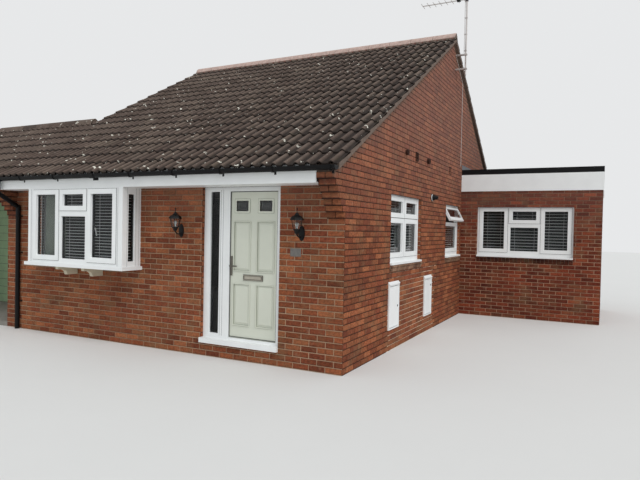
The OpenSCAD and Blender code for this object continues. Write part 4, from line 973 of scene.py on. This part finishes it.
def ridge_cover(name, x0, x1, y, z, falls, finish, slip_finish, seed):
    """Ridge tiles on a bed of mortar, with a slip of tile in each pan below them."""
    draw = np.random.RandomState(seed)
    caps, bed, slips = Bits(), Bits(), Bits()
    count = round((x1 - x0) / RIDGE_TILE)
    step = (x1 - x0) / count
    outer = ridge_outline(y, z, falls, RIDGE_HALF, RIDGE_TOP, 0.0)
    under = ridge_outline(y, z, falls, RIDGE_HALF - RIDGE_T, RIDGE_TOP - RIDGE_T, RIDGE_T * 0.6)
    for k in range(count):
        tip = draw.uniform(-0.002, 0.0)
        outline = [(oy, oz + tip) for oy, oz in outer + under[::-1]]
        caps.run_x(x0 + k * step + RIDGE_GAP, step - 2 * RIDGE_GAP, outline, draw.uniform(0, 1, 3))
    core = ridge_outline(y, z, falls, RIDGE_HALF + 0.006, RIDGE_TOP - RIDGE_T * 0.7, 0.008)
    foot = [(y + side * RIDGE_HALF, z - RIDGE_HALF * fall - 0.05)
            for side, fall in ((1, falls[1]), (-1, falls[0]))]
    bed.run_x(x0 + RIDGE_GAP, x1 - x0 - 2 * RIDGE_GAP, core + foot)
    pitch = (ROOF_HI.x - ROOF_LO.x) / TILES_ACROSS / ROLLS
    near, far = RIDGE_HALF - 0.01, RIDGE_HALF + 0.045
    for k in range(int((x1 - x0) / pitch)):
        x = x1 - pitch * (k + 0.28) - pitch * SLIP_SHARE
        if x <= x0:
            continue
        for side, fall in ((-1, falls[0]), (1, falls[1])):
            slip = [(y + side * reach, z - reach * fall + lift)
                    for reach, lift in ((near, 0.010), (far, 0.010), (far, -0.022), (near, -0.022))]
            slips.run_x(x, pitch * SLIP_SHARE, slip, (*draw.uniform(0, 1, 2), 0.5))
    laid = caps.piece(name, finish, "ridge_clay", smooth_under=35)
    bed.piece(name + "_mortar", "verge_mortar", "roof_tiles")
    slips.piece(name + "_slips", slip_finish, "ridge_clay")
    return laid


def ridges():
    main = ridge_cover("main_ridge", ROOF_LO.x - 0.02, ROOF_HI.x, RIDGE_Y, ROOF_HI.z,
                       (FRONT_RISE, REAR_RISE), "ridge_clay", "ridge_slips", 31)
    ridge_cover("low_ridge", LOW_LO.x, ROOF_LO.x, LOW_RIDGE_Y, front_line(LOW_RIDGE_Y),
                (FRONT_RISE, FRONT_RISE), "roof_tile", "roof_tile", 32)
    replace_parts(main, "ridge_tiles")


# Windows
Pane = namedtuple("Pane", "along out u0 u1 z0 z1 face")


def pane_sets():
    """Each pane of glass as its corners and the way it faces."""
    found = []
    for lo, hi in parts_of("window_glass"):
        wide, deep = hi[0] - lo[0], hi[1] - lo[1]
        if min(wide, deep) > 0.03:
            continue
        axis = 0 if wide < deep else 1
        if axis:
            out = 1 if lo[1] > HOUSE_BACK - 0.5 else -1
        else:
            out = -1 if lo[0] < (BAY_LO.x + BAY_HI.x) / 2 else 1
        face = hi[axis] if out > 0 else lo[axis]
        found.append(Pane("yx"[axis], out, lo[1 - axis], hi[1 - axis], lo[2], hi[2], face))
    return found


def pane_corners(pane):
    """Places on a pane: inset from its edges and distance out from its face."""
    along, out, u0, u1, z0, z1, face = pane

    def corners(inset, depth):
        left, right, foot, head = u0 + inset, u1 - inset, z0 + inset, z1 - inset
        flat = [(left, foot), (right, foot), (right, head), (left, head)]
        if along == "x":
            return [(u, face + out * depth, z) for u, z in flat]
        return [(face + out * depth, u, z) for u, z in flat]
    return corners


def front_corners(u0, u1, z0, z1, face):
    """The same on a plane that looks to the front."""
    return pane_corners(("x", -1, u0, u1, z0, z1, face))


def is_sash(pane):
    """True where the pane opens: an opening light stands higher in its frame than a fixed one."""
    at_front = pane.face < (0.5 if pane.along == "x" else -0.5)
    return pane.z0 > (BAY_LO.z + BAY_FIXED_FOOT if at_front else WINDOW_FOOT + FIXED_FOOT)


def window_details():
    """Beads and a seal round each pane, dark liners behind each pane as painted shade of the reveal, and the
    dark joint round each opening light, a seal and a painted shadow gap.
    """
    beads, seals_and_shade = Bits(), Bits()
    for pane in pane_sets():
        corners = pane_corners(pane)
        beads.ring(corners, [(-0.002, -0.001), (BEAD, -0.001), (BEAD, 0.003), (0.001, 0.020),
                             (-0.002, 0.020)])
        seals_and_shade.band(corners, BEAD - 0.001, BEAD + SEAL, 0.0, 0.0015)
        # Painted shade: a dark liner just behind the glass stands for the dim reveal seen through the pane.
        seals_and_shade.band(corners, 0.0005, 0.002, -SHADE_LINER, -PANE_T)
        # Round each opening light: a dark seal line that also serves as painted shadow in the gap between sash
        # and frame.
        if is_sash(pane):
            seals_and_shade.band(corners, 0.001 - SASH_OUT, -0.005 - SASH_OUT, SASH_FACE - 0.001, SASH_FACE + 0.002)
    beads.piece("glazing_beads", "white_plastic", "white_plastic")
    seals_and_shade.piece("glazing_seals_and_shade_liners", "seal", "black_plastic")


def hang_louvres(bits, pane, back):
    """Upright louvres, drawn to the right three quarters of a light."""
    start = pane.u0 + (pane.u1 - pane.u0) * 0.28
    du, dy = LOUVRE_HALF * math.cos(LOUVRE_TURN), LOUVRE_HALF * math.sin(LOUVRE_TURN)
    for k in range(LOUVRES):
        u = start + (pane.u1 + 0.03 - start) * k / (LOUVRES - 1)
        flat = [(u - du, back - dy), (u + du, back + dy), (u + du, back + dy + 0.001),
                (u - du, back - dy + 0.001)]
        bits.prism([(x, y, pane.z0 - 0.01) for x, y in flat], (0, 0, pane.z1 - pane.z0 + 0.03))


def slat_section(tilt):
    """A thin curved slat: places across it and their heights."""
    across, fall = SLAT_WIDTH * math.cos(tilt), SLAT_WIDTH * math.sin(tilt)
    top = [(across * c, h + SLAT_T - fall * c) for c, h in SLAT_CURVE]
    return top + [(across * c, h - fall * c) for c, h in SLAT_CURVE[::-1]]


def blinds():
    """Level slats behind the panes of the bay, the gable and the extension, on two tapes each."""
    slats, tapes, louvres = Bits(), Bits(), Bits()
    draw = np.random.RandomState(41)
    for pane in pane_sets():
        along, out, u0, u1, z0, z1, face = pane
        by_door = along == "x" and DOOR_LO.x < u0 < 0 and face < 1
        if u1 - u0 < 0.08 or by_door:
            continue
        back = face - out * BLIND_BACK
        if along == "x" and u1 < BAY_LO.x + BAY_THIRD:
            hang_louvres(louvres, pane, back)
            continue
        far = along == "x" and u0 > 0
        pitch = EXT_SLAT_PITCH if far else SLAT_PITCH
        section = slat_section(EXT_SLAT_TILT if far else SLAT_TILT)
        a, b = u0 - BLIND_MORE, u1 + BLIND_MORE
        for k in range(int((z1 - z0 + 0.05) / pitch)):
            z = z0 - BLIND_MORE + k * pitch + draw.uniform(-0.0015, 0.0015)
            if along == "x":
                slats.run_x(a, b - a, [(back - out * d, z + h) for d, h in section])
            else:
                slats.prism([(back - out * d, a, z + h) for d, h in section], (0, b - a, 0))
        foot, head = z0 - BLIND_MORE, z1 + BLIND_MORE
        for u in (u0 + 0.08, u1 - 0.08) if u1 - u0 > 0.2 else ():
            if along == "x":
                tapes.box((u - 0.002, back - 0.026, foot), (u + 0.002, back - 0.024, head))
            else:
                tapes.box((back + 0.024, u - 0.002, foot), (back + 0.026, u + 0.002, head))
    louvres.piece("louvres", "louvres", "white_plastic")
    slats.piece("blind_slats", "blind_slats", "white_plastic", smooth_under=30)
    tapes.piece("blind_tapes", "blind_slats", "white_plastic")


# Rainwater goods
def half_ring(y, z, radius):
    """The lower half of a circle in y and z, from front to back."""
    turns = np.linspace(math.pi, 2 * math.pi, 13)
    return [(y + radius * math.cos(turn), z + radius * math.sin(turn)) for turn in turns]


def gutter_bits():
    """Brackets about 0.8 m apart under the gutters, two of them wide unions."""
    bits = Bits()
    for lo, hi in parts_of("gutters"):
        radius = (hi[1] - lo[1]) / 2
        y, z = (lo[1] + hi[1]) / 2, hi[2]
        count = round((hi[0] - lo[0]) / 0.8)
        front = -1 if y < 0 else 1
        lip = y + front * (radius - 0.004)
        board = sorted((y - front * radius, y - front * (radius + 0.004)))
        for k in range(count + 1):
            x = lo[0] + 0.06 + (hi[0] - lo[0] - 0.142) * k / count
            wide, thick = (0.11, 0.006) if k in GUTTER_UNIONS else (0.030, 0.008)
            bits.run_x(x, wide, half_ring(y, z, radius + thick) + half_ring(y, z, radius)[::-1])
            bits.box((x, lip - 0.006, z - 0.006), (x + wide, lip + 0.006, z + 0.004))
            bits.box((x, board[0], z - radius - 0.030), (x + wide, board[1], z - radius * 0.5))
    bits.piece("gutter_brackets", "black_plastic", "black_plastic")


def pipe_bits():
    bits = Bits()
    for lo, hi in parts_of("downpipes"):
        x = (lo[0] + hi[0]) / 2
        back, out = (hi[1], -1) if hi[1] < 1 else (lo[1], 1)
        plate = sorted((back, back + out * 0.012))
        for z in PIPE_CLIPS:
            bits.lathe((x, back + out * 0.041, z), (0, 0, 1),
                       [(0.037, 0.0), (0.0405, 0.002), (0.0405, 0.024), (0.037, 0.026)], 24)
            for mid in (x - 0.055, x + 0.055):
                bits.box((mid - 0.016, plate[0], z), (mid + 0.016, plate[1], z + 0.026))
    bits.piece("pipe_clips", "black_plastic", "black_plastic", smooth_under=40)


def bay_bracket_bits():
    """Bay brackets with a square nose and a curved underside."""
    bits = Bits()
    for lo, hi in parts_of("bay_brackets"):
        front, back, top, foot = lo[1], hi[1], hi[2], lo[2]
        curve_y, curve_z = front + 0.05, top - 0.045
        outline = [(back, top), (front, top), (front, top - 0.035), (front + 0.012, curve_z),
                   (curve_y, curve_z)]
        for turn in np.linspace(0, math.pi / 2, 7):
            fall = (curve_z - foot) * (1 - math.cos(turn))
            outline.append((curve_y + 0.11 * math.sin(turn), curve_z - fall))
        bits.run_x(lo[0], hi[0] - lo[0], outline + [(back, foot)])
    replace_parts(bits.piece("curved_brackets", "cream_paint", "cream_paint"), "bay_brackets")


def flashing():
    """Three lengths of lead, with a lap between them, where the flat roof meets the gable."""
    bits = Bits()
    lo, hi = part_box("ext_edge_trim")
    step = (hi.y - lo.y) / 3
    for k in range(3):
        y0 = lo.y + 0.01 + k * step
        y1 = min(y0 + step + 0.05, hi.y - 0.01)
        x = 0.004 + 0.0015 * (k % 2)
        bits.box((x, y0, hi.z - 0.05), (x + 0.003, y1, hi.z + 0.10))
        bits.box((x - 0.003, y0, hi.z + 0.10), (x + 0.006, y1, hi.z + 0.106))
    bits.piece("lead_flashing", "lead", "roof_felt")


# Fittings
def lantern_arm(metal, x, y, z):
    """Two wall plates, a boss and an arm that bends up to the lantern."""
    for wide, tall, near in ((0.045, 0.095, 0.0), (0.036, 0.086, -0.006)):
        turns = [math.pi * k / 12 for k in range(24)]
        oval = [(x + wide * math.cos(turn), near, z + tall * math.sin(turn)) for turn in turns]
        metal.prism(oval, (0, -0.006, 0))
    metal.lathe((x, -0.006, z + LANTERN_ARM), (0, -1, 0), [(0.026, 0.0), (0.022, 0.012), (0.010, 0.02)], 20)
    bend = [(-0.06 - 0.07 * math.sin(turn), LANTERN_ARM + 0.055 - 0.055 * math.cos(turn))
            for turn in np.linspace(0, math.pi / 2, 7)]
    path = [(-0.02, LANTERN_ARM)] + bend + [(y, 0.02)]
    for (y0, z0), (y1, z1) in zip(path, path[1:]):
        reach = math.hypot(y1 - y0, z1 - z0) + 0.003
        metal.lathe((x, y0, z + z0), (0, y1 - y0, z1 - z0), [(0.008, -0.003), (0.008, reach)], 12)


def lantern_bits():
    """Bars and cap in black, six clear panes and a lamp inside."""
    metal, panes, lamps = Bits(), Bits(), Bits()
    for lo, hi in parts_of("wall_lanterns"):
        x, y, z = (lo[0] + hi[0]) / 2, lo[1] + LANTERN_ROOF, LANTERN_Z
        lantern_arm(metal, x, y, z)
        metal.lathe((x, y, z), (0, 0, 1), [(0.010, -0.012), (0.024, 0.0), (0.03, 0.02),
                                           (0.049, LANTERN_CUP), (0.045, LANTERN_CUP + 0.004)], 6)
        metal.lathe((x, y, z + LANTERN_GLASS), (0, 0, 1),
                    [(0.070, 0.0), (0.090, 0.0), (0.088, 0.008), (0.066, 0.040), (0.040, 0.058),
                     (0.028, 0.062), (0.026, 0.075), (0.012, 0.088)], 6)
        metal.lathe((x, y, z + LANTERN_CAP), (0, 0, 1),
                    [(0.012, 0.02), (0.005, 0.035), (0.005, 0.062), (0.010, 0.072), (0.005, 0.084),
                     (0.001, 0.095)], 12)

        def bar(k, radius, level):
            turn = math.pi / 3 * k
            return Vector((x + radius * math.cos(turn), y + radius * math.sin(turn), z + level))

        for k in range(6):
            low, high = bar(k, 0.049, LANTERN_CUP), bar(k, 0.0725, LANTERN_GLASS)
            next_low, next_high = bar(k + 1, 0.049, LANTERN_CUP), bar(k + 1, 0.0725, LANTERN_GLASS)
            metal.lathe(low, high - low, [(0.0045, 0.0), (0.0045, (high - low).length)], 6)
            inward = Vector((x, y, z + 0.1)) - (low + next_low + high + next_high) / 4
            panes.prism([low, next_low, next_high, high], inward.normalized() * 0.002)
        lamps.lathe((x, y, z + LANTERN_CUP), (0, 0, 1),
                    [(0.012, 0.0), (0.012, 0.03), (0.02, 0.045), (0.022, 0.06), (0.012, 0.078),
                     (0.002, 0.084)], 14)
    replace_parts(metal.piece("lanterns", "black_iron", "lantern_black", smooth_under=25), "wall_lanterns")
    panes.piece("lantern_panes", "lantern_glass", "glass")
    lamps.piece("lantern_lamps", "blind_slats", "white_plastic", smooth_under=40)


def light_ring():
    """The pale rim round the wide end of the light on the gable."""
    bits = Bits()
    lo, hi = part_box("security_light")
    radius = (hi.y - lo.y) / 2
    profile = [(radius - 0.008, 0.013), (radius - 0.006, 0.016), (radius - 0.008, 0.023),
               (radius - 0.014, 0.025)]
    bits.lathe((0.0, (lo.y + hi.y) / 2, (lo.z + hi.z) / 2), (1, 0, 0), profile, 28)
    bits.piece("light_rim", "white_plastic", "black_plastic", smooth_under=40)


def garage_lines():
    """Painted shade in the grooves between the boards of the garage door."""
    lo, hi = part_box("garage_door")
    co = points_of("garage_door")
    depth = min(y for y in co[:, 1] if y > lo.y + 0.002)
    levels = sorted(set(np.round(co[np.abs(co[:, 1] - depth) < 1e-4, 2], 4)))
    bits = Bits()
    for foot, head in zip(levels[0::2], levels[1::2]):
        bits.box((lo.x + 0.001, depth - 0.0015, foot + 0.001), (hi.x - 0.001, depth + 0.0005, head - 0.001))
    bits.piece("garage_door_lines", "green_groove_shade", "green_paint")


def frame_lines():
    """Fine shadow lines on the steps of the door frame, and on the front and the sides of the bay."""
    bits = Bits()
    lo, hi = min(parts_of("window_glass"), key=lambda part: abs(part[0][0] - DOOR_LO.x))
    foot, head = BAY_LO.z + 0.004, BAY_HI.z - 0.004
    fronts = [(hi[0] + reach, DOOR_LO.y, lo[2] - 0.02, hi[2] + 0.02) for reach in (0.022, 0.058)]
    fronts += [(x, BAY_LO.y, foot, head) for x in (BAY_LO.x + 0.080, BAY_HI.x - 0.084)]
    for x, y, z0, z1 in fronts:
        bits.box((x, y - LINE_OUT, z0), (x + LINE_W, y + LINE_IN, z1))
    for pane in pane_sets():
        if pane.along == "y" and pane.face < -0.5:
            x = (BAY_HI if pane.out > 0 else BAY_LO).x
            for y in (pane.u0 - 0.024, pane.u1 + 0.020, pane.u1 + 0.078):
                bits.box((x - LINE_OUT, y, foot), (x + LINE_OUT, y + LINE_W, head))
    bits.piece("frame_lines", "frame_shadow", "white_plastic")


def window_handles():
    """A small handle inside each wide opening light of the bay."""
    bits = Bits()
    for along, out, u0, u1, z0, z1, face in pane_sets():
        at_left, at_right = u0 < BAY_LO.x + BAY_THIRD, u1 > BAY_HI.x - BAY_THIRD
        in_bay = along == "x" and out < 0 and face <= 0 and u0 <= BAY_HI.x
        if not in_bay or z1 - z0 < 0.6 or not (at_left or at_right):
            continue
        u, turn = (u0 - 0.022, 1) if at_right else (u1 + 0.022, -1)
        z, back = (z0 + z1) / 2 - 0.04, face + 0.050
        bits.box((u - 0.012, back, z - 0.032), (u + 0.012, back + 0.010, z + 0.032))
        bits.lathe((u, back + 0.008, z), (0, 1, 0), [(0.009, 0.0), (0.008, 0.024)], 12)
        tip = u + turn * 0.030
        grip = [(u - 0.009, z + 0.012), (u + 0.009, z + 0.012), (tip + 0.007, z - 0.105),
                (tip - 0.007, z - 0.105)]
        bits.prism([(x, back + 0.028, level) for x, level in grip], (0, 0.010, 0))
    bits.piece("window_handles", "white_plastic", "white_plastic", smooth_under=40)


def meter_bits():
    """A lock in each lid and a fine raised line round it."""
    for number in (1, 2):
        lo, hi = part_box("meter_door_%d" % number)
        body = "meter_lid_%d" % number
        trim, lock = Bits(), Bits()
        corners = pane_corners(("y", 1, lo.y, hi.y, lo.z + 0.019, hi.z - 0.019, hi.x))
        trim.ring(corners, [(0.012, -0.001), (0.020, -0.001), (0.018, 0.003), (0.014, 0.003)])
        place = (hi.x - 0.001, hi.y - 0.05, hi.z - 0.12 if number == 2 else (lo.z + hi.z) / 2)
        lock.lathe(place, (1, 0, 0), [(0.016, 0.0), (0.016, 0.004), (0.010, 0.006)], 20)
        trim.piece("meter_trim_%d" % number, "white_plastic", "white_plastic", body)
        lock.piece("meter_lock_%d" % number, "black_plastic", "black_plastic", body, 40)


# Front door
def letter_plate():
    """Flap, rim and dark edges of the letter plate, the widest piece of the door's furniture."""
    lo, hi = [part for part in parts_of("door_furniture") if part[1][0] - part[0][0] > 0.25][-1]
    corners = front_corners(lo[0], hi[0], lo[2], hi[2], lo[1])
    rim, edge = Bits(), Bits()
    rim.ring(corners, [(0.0, 0.001), (0.012, 0.001), (0.010, 0.004), (0.003, 0.005)])
    mid = (lo[2] + hi[2]) / 2
    rim.box((lo[0] + 0.022, lo[1] - 0.004, mid - 0.018), (hi[0] - 0.022, lo[1] + 0.001, mid + 0.020))
    rim.piece("letter_flap", "silver_metal", "satin_metal", "front_door")
    edge.band(corners, 0.0095, 0.0125, 0.001, 0.0058)
    edge.band(corners, -0.004, 0.0005, -0.008, -0.004)
    edge.piece("letter_edge", "seal", "satin_metal", "front_door")


def door_seal():
    """The dark seal of the frame round the leaf."""
    lo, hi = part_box("door_leaf")
    seal = Bits()
    seal.ring(front_corners(lo.x + LEAF_LAP, hi.x - LEAF_LAP, lo.z + LEAF_LAP, hi.z - LEAF_LAP, LEAF_FACE),
              [(-0.003, 0.0003), (0.005, 0.0003), (0.004, 0.004), (-0.003, 0.004)])
    seal.piece("door_seal", "seal", "black_plastic")


def door_panels():
    """Beads, gaskets and lead bars of the two small panes, the mouldings of the panels, and painted shadow
    lines in the panel grooves and round the pane rims.
    """
    beads, bars, gasket, mould, line = Bits(), Bits(), Bits(), Bits(), Bits()
    for lo, hi in parts_of("door_panes"):
        corners = front_corners(lo[0], hi[0], lo[2], hi[2], lo[1])
        beads.ring(corners, [(-0.002, -0.001), (0.003, -0.001), (0.003, 0.002), (0.001, 0.012),
                             (-0.002, 0.012)])
        for inset in (0.030, 0.040):
            bars.band(corners, inset, inset + 0.003, 0.0, 0.001)
        corners = front_corners(lo[0], hi[0], lo[2], hi[2], LEAF_FACE)
        gasket.ring(corners, [(-PANE_SEAL, -0.001), (0.001, -0.001), (0.001, 0.0006),
                              (0.002 - PANE_SEAL, 0.0016)])
        for foot, head in PANEL_ROWS:
            corners = front_corners(lo[0] - PANEL_MORE, hi[0] + PANEL_MORE, foot, head, LEAF_FACE)
            mould.ring(corners, [(-0.004, -0.001), (0.010, -0.001), (0.008, 0.004), (0.003, 0.006),
                                 (-0.002, 0.004)])
            # Painted shadow lines in the grooves inside the mouldings and round the pane rims.
            line.band(corners, 0.010, 0.014, -0.0075, -0.0065)
        corners = front_corners(lo[0] - PANE_RIM, hi[0] + PANE_RIM, lo[2] - PANE_RIM, hi[2] + PANE_RIM,
                                LEAF_FACE)
        line.band(corners, -0.0025, 0.0005, -0.001, 0.001)
    beads.piece("pane_beads", "seal", "door_paint", "front_door")
    gasket.piece("pane_gaskets", "seal", "door_paint", "front_door")
    mould.piece("panel_mouldings", "sage_paint", "door_paint", "front_door")
    line.piece("panel_shadow_lines", "sage_shadow", "door_paint", "front_door")
    bars.piece("pane_lead", "lead", "satin_metal", "front_door")


# Gable fittings
def vent_cowl(bits, y, z, wide):
    """A round cowl with three bars."""
    bits.lathe((-0.002, y, z), (1, 0, 0),
               [(wide + 0.010, 0.0), (wide + 0.010, 0.005), (wide, 0.008), (wide, 0.034),
                (wide + 0.007, 0.036), (wide + 0.007, 0.046), (wide - 0.006, 0.047),
                (wide - 0.006, 0.038), (0.0, 0.038)], 24)
    for mid in (y - 0.020, y, y + 0.020):
        bits.box((0.036, mid - 0.003, z - wide + 0.006), (0.043, mid + 0.003, z + wide - 0.006))


def vent_slot(bits, y, z, half_y, half_z, front):
    """A rim with sloping slats inside it."""
    corners = pane_corners(("y", 1, y - half_y, y + half_y, z - half_z, z + half_z, front))
    wall = -front - 0.002
    bits.ring(corners, [(-0.002, wall), (0.010, wall), (0.010, -0.003), (0.002, 0.0), (-0.002, -0.004)])
    rows = max(round(half_z / 0.012), 2)
    for row in range(rows):
        foot = z - half_z + 0.006 + (2 * half_z - 0.012) * row / rows
        section = ((front - 0.024, foot + 0.010), (front - 0.004, foot), (front - 0.004, foot + 0.004),
                   (front - 0.024, foot + 0.014))
        bits.prism([(x, y - half_y + 0.006, level) for x, level in section], (0, 2 * half_y - 0.012, 0))


def vent_bits():
    """Two round cowls, a flue outlet between them and a slim slot vent."""
    bits = Bits()
    for k, (lo, hi) in enumerate(sorted(parts_of("gable_vents"), key=lambda part: part[0][1])):
        y, z = (lo[1] + hi[1]) / 2, (lo[2] + hi[2]) / 2
        if k in (0, 2):
            vent_cowl(bits, y, z, 0.040 if k == 0 else 0.045)
        else:
            half_z = FLUE_HALF if k == 1 else (hi[2] - lo[2]) / 2
            vent_slot(bits, y, z, (hi[1] - lo[1]) / 2, half_z, hi[0])
    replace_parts(bits.piece("gable_vent_cowls", "brown_plastic", "vent_brown", smooth_under=40), "gable_vents")


def aerial_bits():
    """The box and the clamp of the boom, and the lead that is clipped along the mast."""
    bits, lead = Bits(), Bits()
    x, y = MAST
    bits.box((x - 0.20, y - 0.03, BOOM_Z - 0.012), (x - 0.13, y + 0.03, BOOM_Z + 0.034))
    bits.box((x - 0.026, y - 0.026, BOOM_Z - 0.03), (x + 0.022, y + 0.026, BOOM_Z + 0.028))
    bits.piece("aerial_box", "black_plastic", "black_plastic")
    tall = BOOM_Z - UPPER_BRACKET
    lead.lathe((x - 0.034, y, UPPER_BRACKET), (0, 0, 1), [(0.005, 0.0), (0.005, tall)], 10)
    for k in range(4):
        z = UPPER_BRACKET + 0.06 + (tall - 0.1) * k / 3
        lead.box((x - 0.040, y - 0.019, z), (x + 0.018, y + 0.019, z + 0.010))
    lead.piece("aerial_lead", "weathered_aluminium", "bare_metal")


def set_camera():
    """The camera that was fitted to the photograph."""
    data = bpy.data.cameras.new("camera")
    data.lens = 31.5
    data.sensor_width = 36.0
    data.clip_end = 500.0
    camera = bpy.data.objects.new("camera", data)
    right = Vector((0.891729, 0.452121, 0.020154))
    down = Vector((0.026488, -0.007684, -0.999620))
    ahead = Vector((-0.451794, 0.891924, -0.018827))
    turn = Matrix((right, -down, -ahead)).transposed().to_4x4()
    camera.matrix_world = Matrix.Translation((2.73939, -6.05415, 1.74285)) @ turn
    bpy.context.scene.collection.objects.link(camera)
    bpy.context.scene.camera = camera


def set_floor():
    half = 60.0
    mesh = bpy.data.meshes.new("floor")
    corners = [(-half, -half, 0), (half, -half, 0), (half, half, 0), (-half, half, 0)]
    mesh.from_pydata(corners, [], [(0, 1, 2, 3)])
    floor = bpy.data.objects.new("floor", mesh)
    bpy.context.scene.collection.objects.link(floor)
    mesh.materials.append(M["floor"])


def set_light():
    """A soft sun, and a sky that looks pale to the camera and in glass and metal."""
    world = bpy.data.worlds.new("studio")
    bpy.context.scene.world = world
    world.use_nodes = True
    world.node_tree.nodes.clear()
    sky = Nodes(world.node_tree)
    path = sky.add("LightPath").outputs
    seen = sky.most(sky.most(path["Is Camera Ray"], path["Is Glossy Ray"]), path["Is Transmission Ray"])
    soft = sky.add("Background", {"Color": (0.92, 0.96, 1.0, 1.0), "Strength": 0.68}).outputs[0]
    pale = sky.add("Background", {"Color": (0.93, 0.94, 0.95, 1.0), "Strength": 0.86}).outputs[0]
    sky.add("OutputWorld", {0: sky.add("MixShader", {0: seen, 1: soft, 2: pale}).outputs[0]})
    lamp = bpy.data.lights.new("soft_sun", "SUN")
    lamp.energy = 1.55
    lamp.angle = math.radians(35)
    sun = bpy.data.objects.new("soft_sun", lamp)
    bpy.context.scene.collection.objects.link(sun)
    sun.rotation_euler = Vector((-0.80, 0.47, -1.0)).to_track_quat("-Z", "Y").to_euler()


long_wall_bricks("front_bricks", "front", 0.0, front_holes(), 11)
long_wall_bricks("rear_bricks", "back", HOUSE_BACK, window_holes("back"), 15)
gable_bricks("right_gable_bricks", "right", 0.0, right_gable_holes(), 12)
gable_bricks("left_gable_bricks", "left", HOUSE_LEFT, [], 13)
extension_bricks()
garage_bricks()
sill_bricks()
main_decks()
low_deck()
tiled_roofs()
ridges()
window_details()
blinds()
gutter_bits()
pipe_bits()
bay_bracket_bits()
flashing()
lantern_bits()
light_ring()
garage_lines()
frame_lines()
window_handles()
meter_bits()
letter_plate()
door_seal()
door_panels()
vent_bits()
aerial_bits()
set_camera()
set_floor()
set_light()
bpy.context.scene.view_settings.view_transform = "Standard"
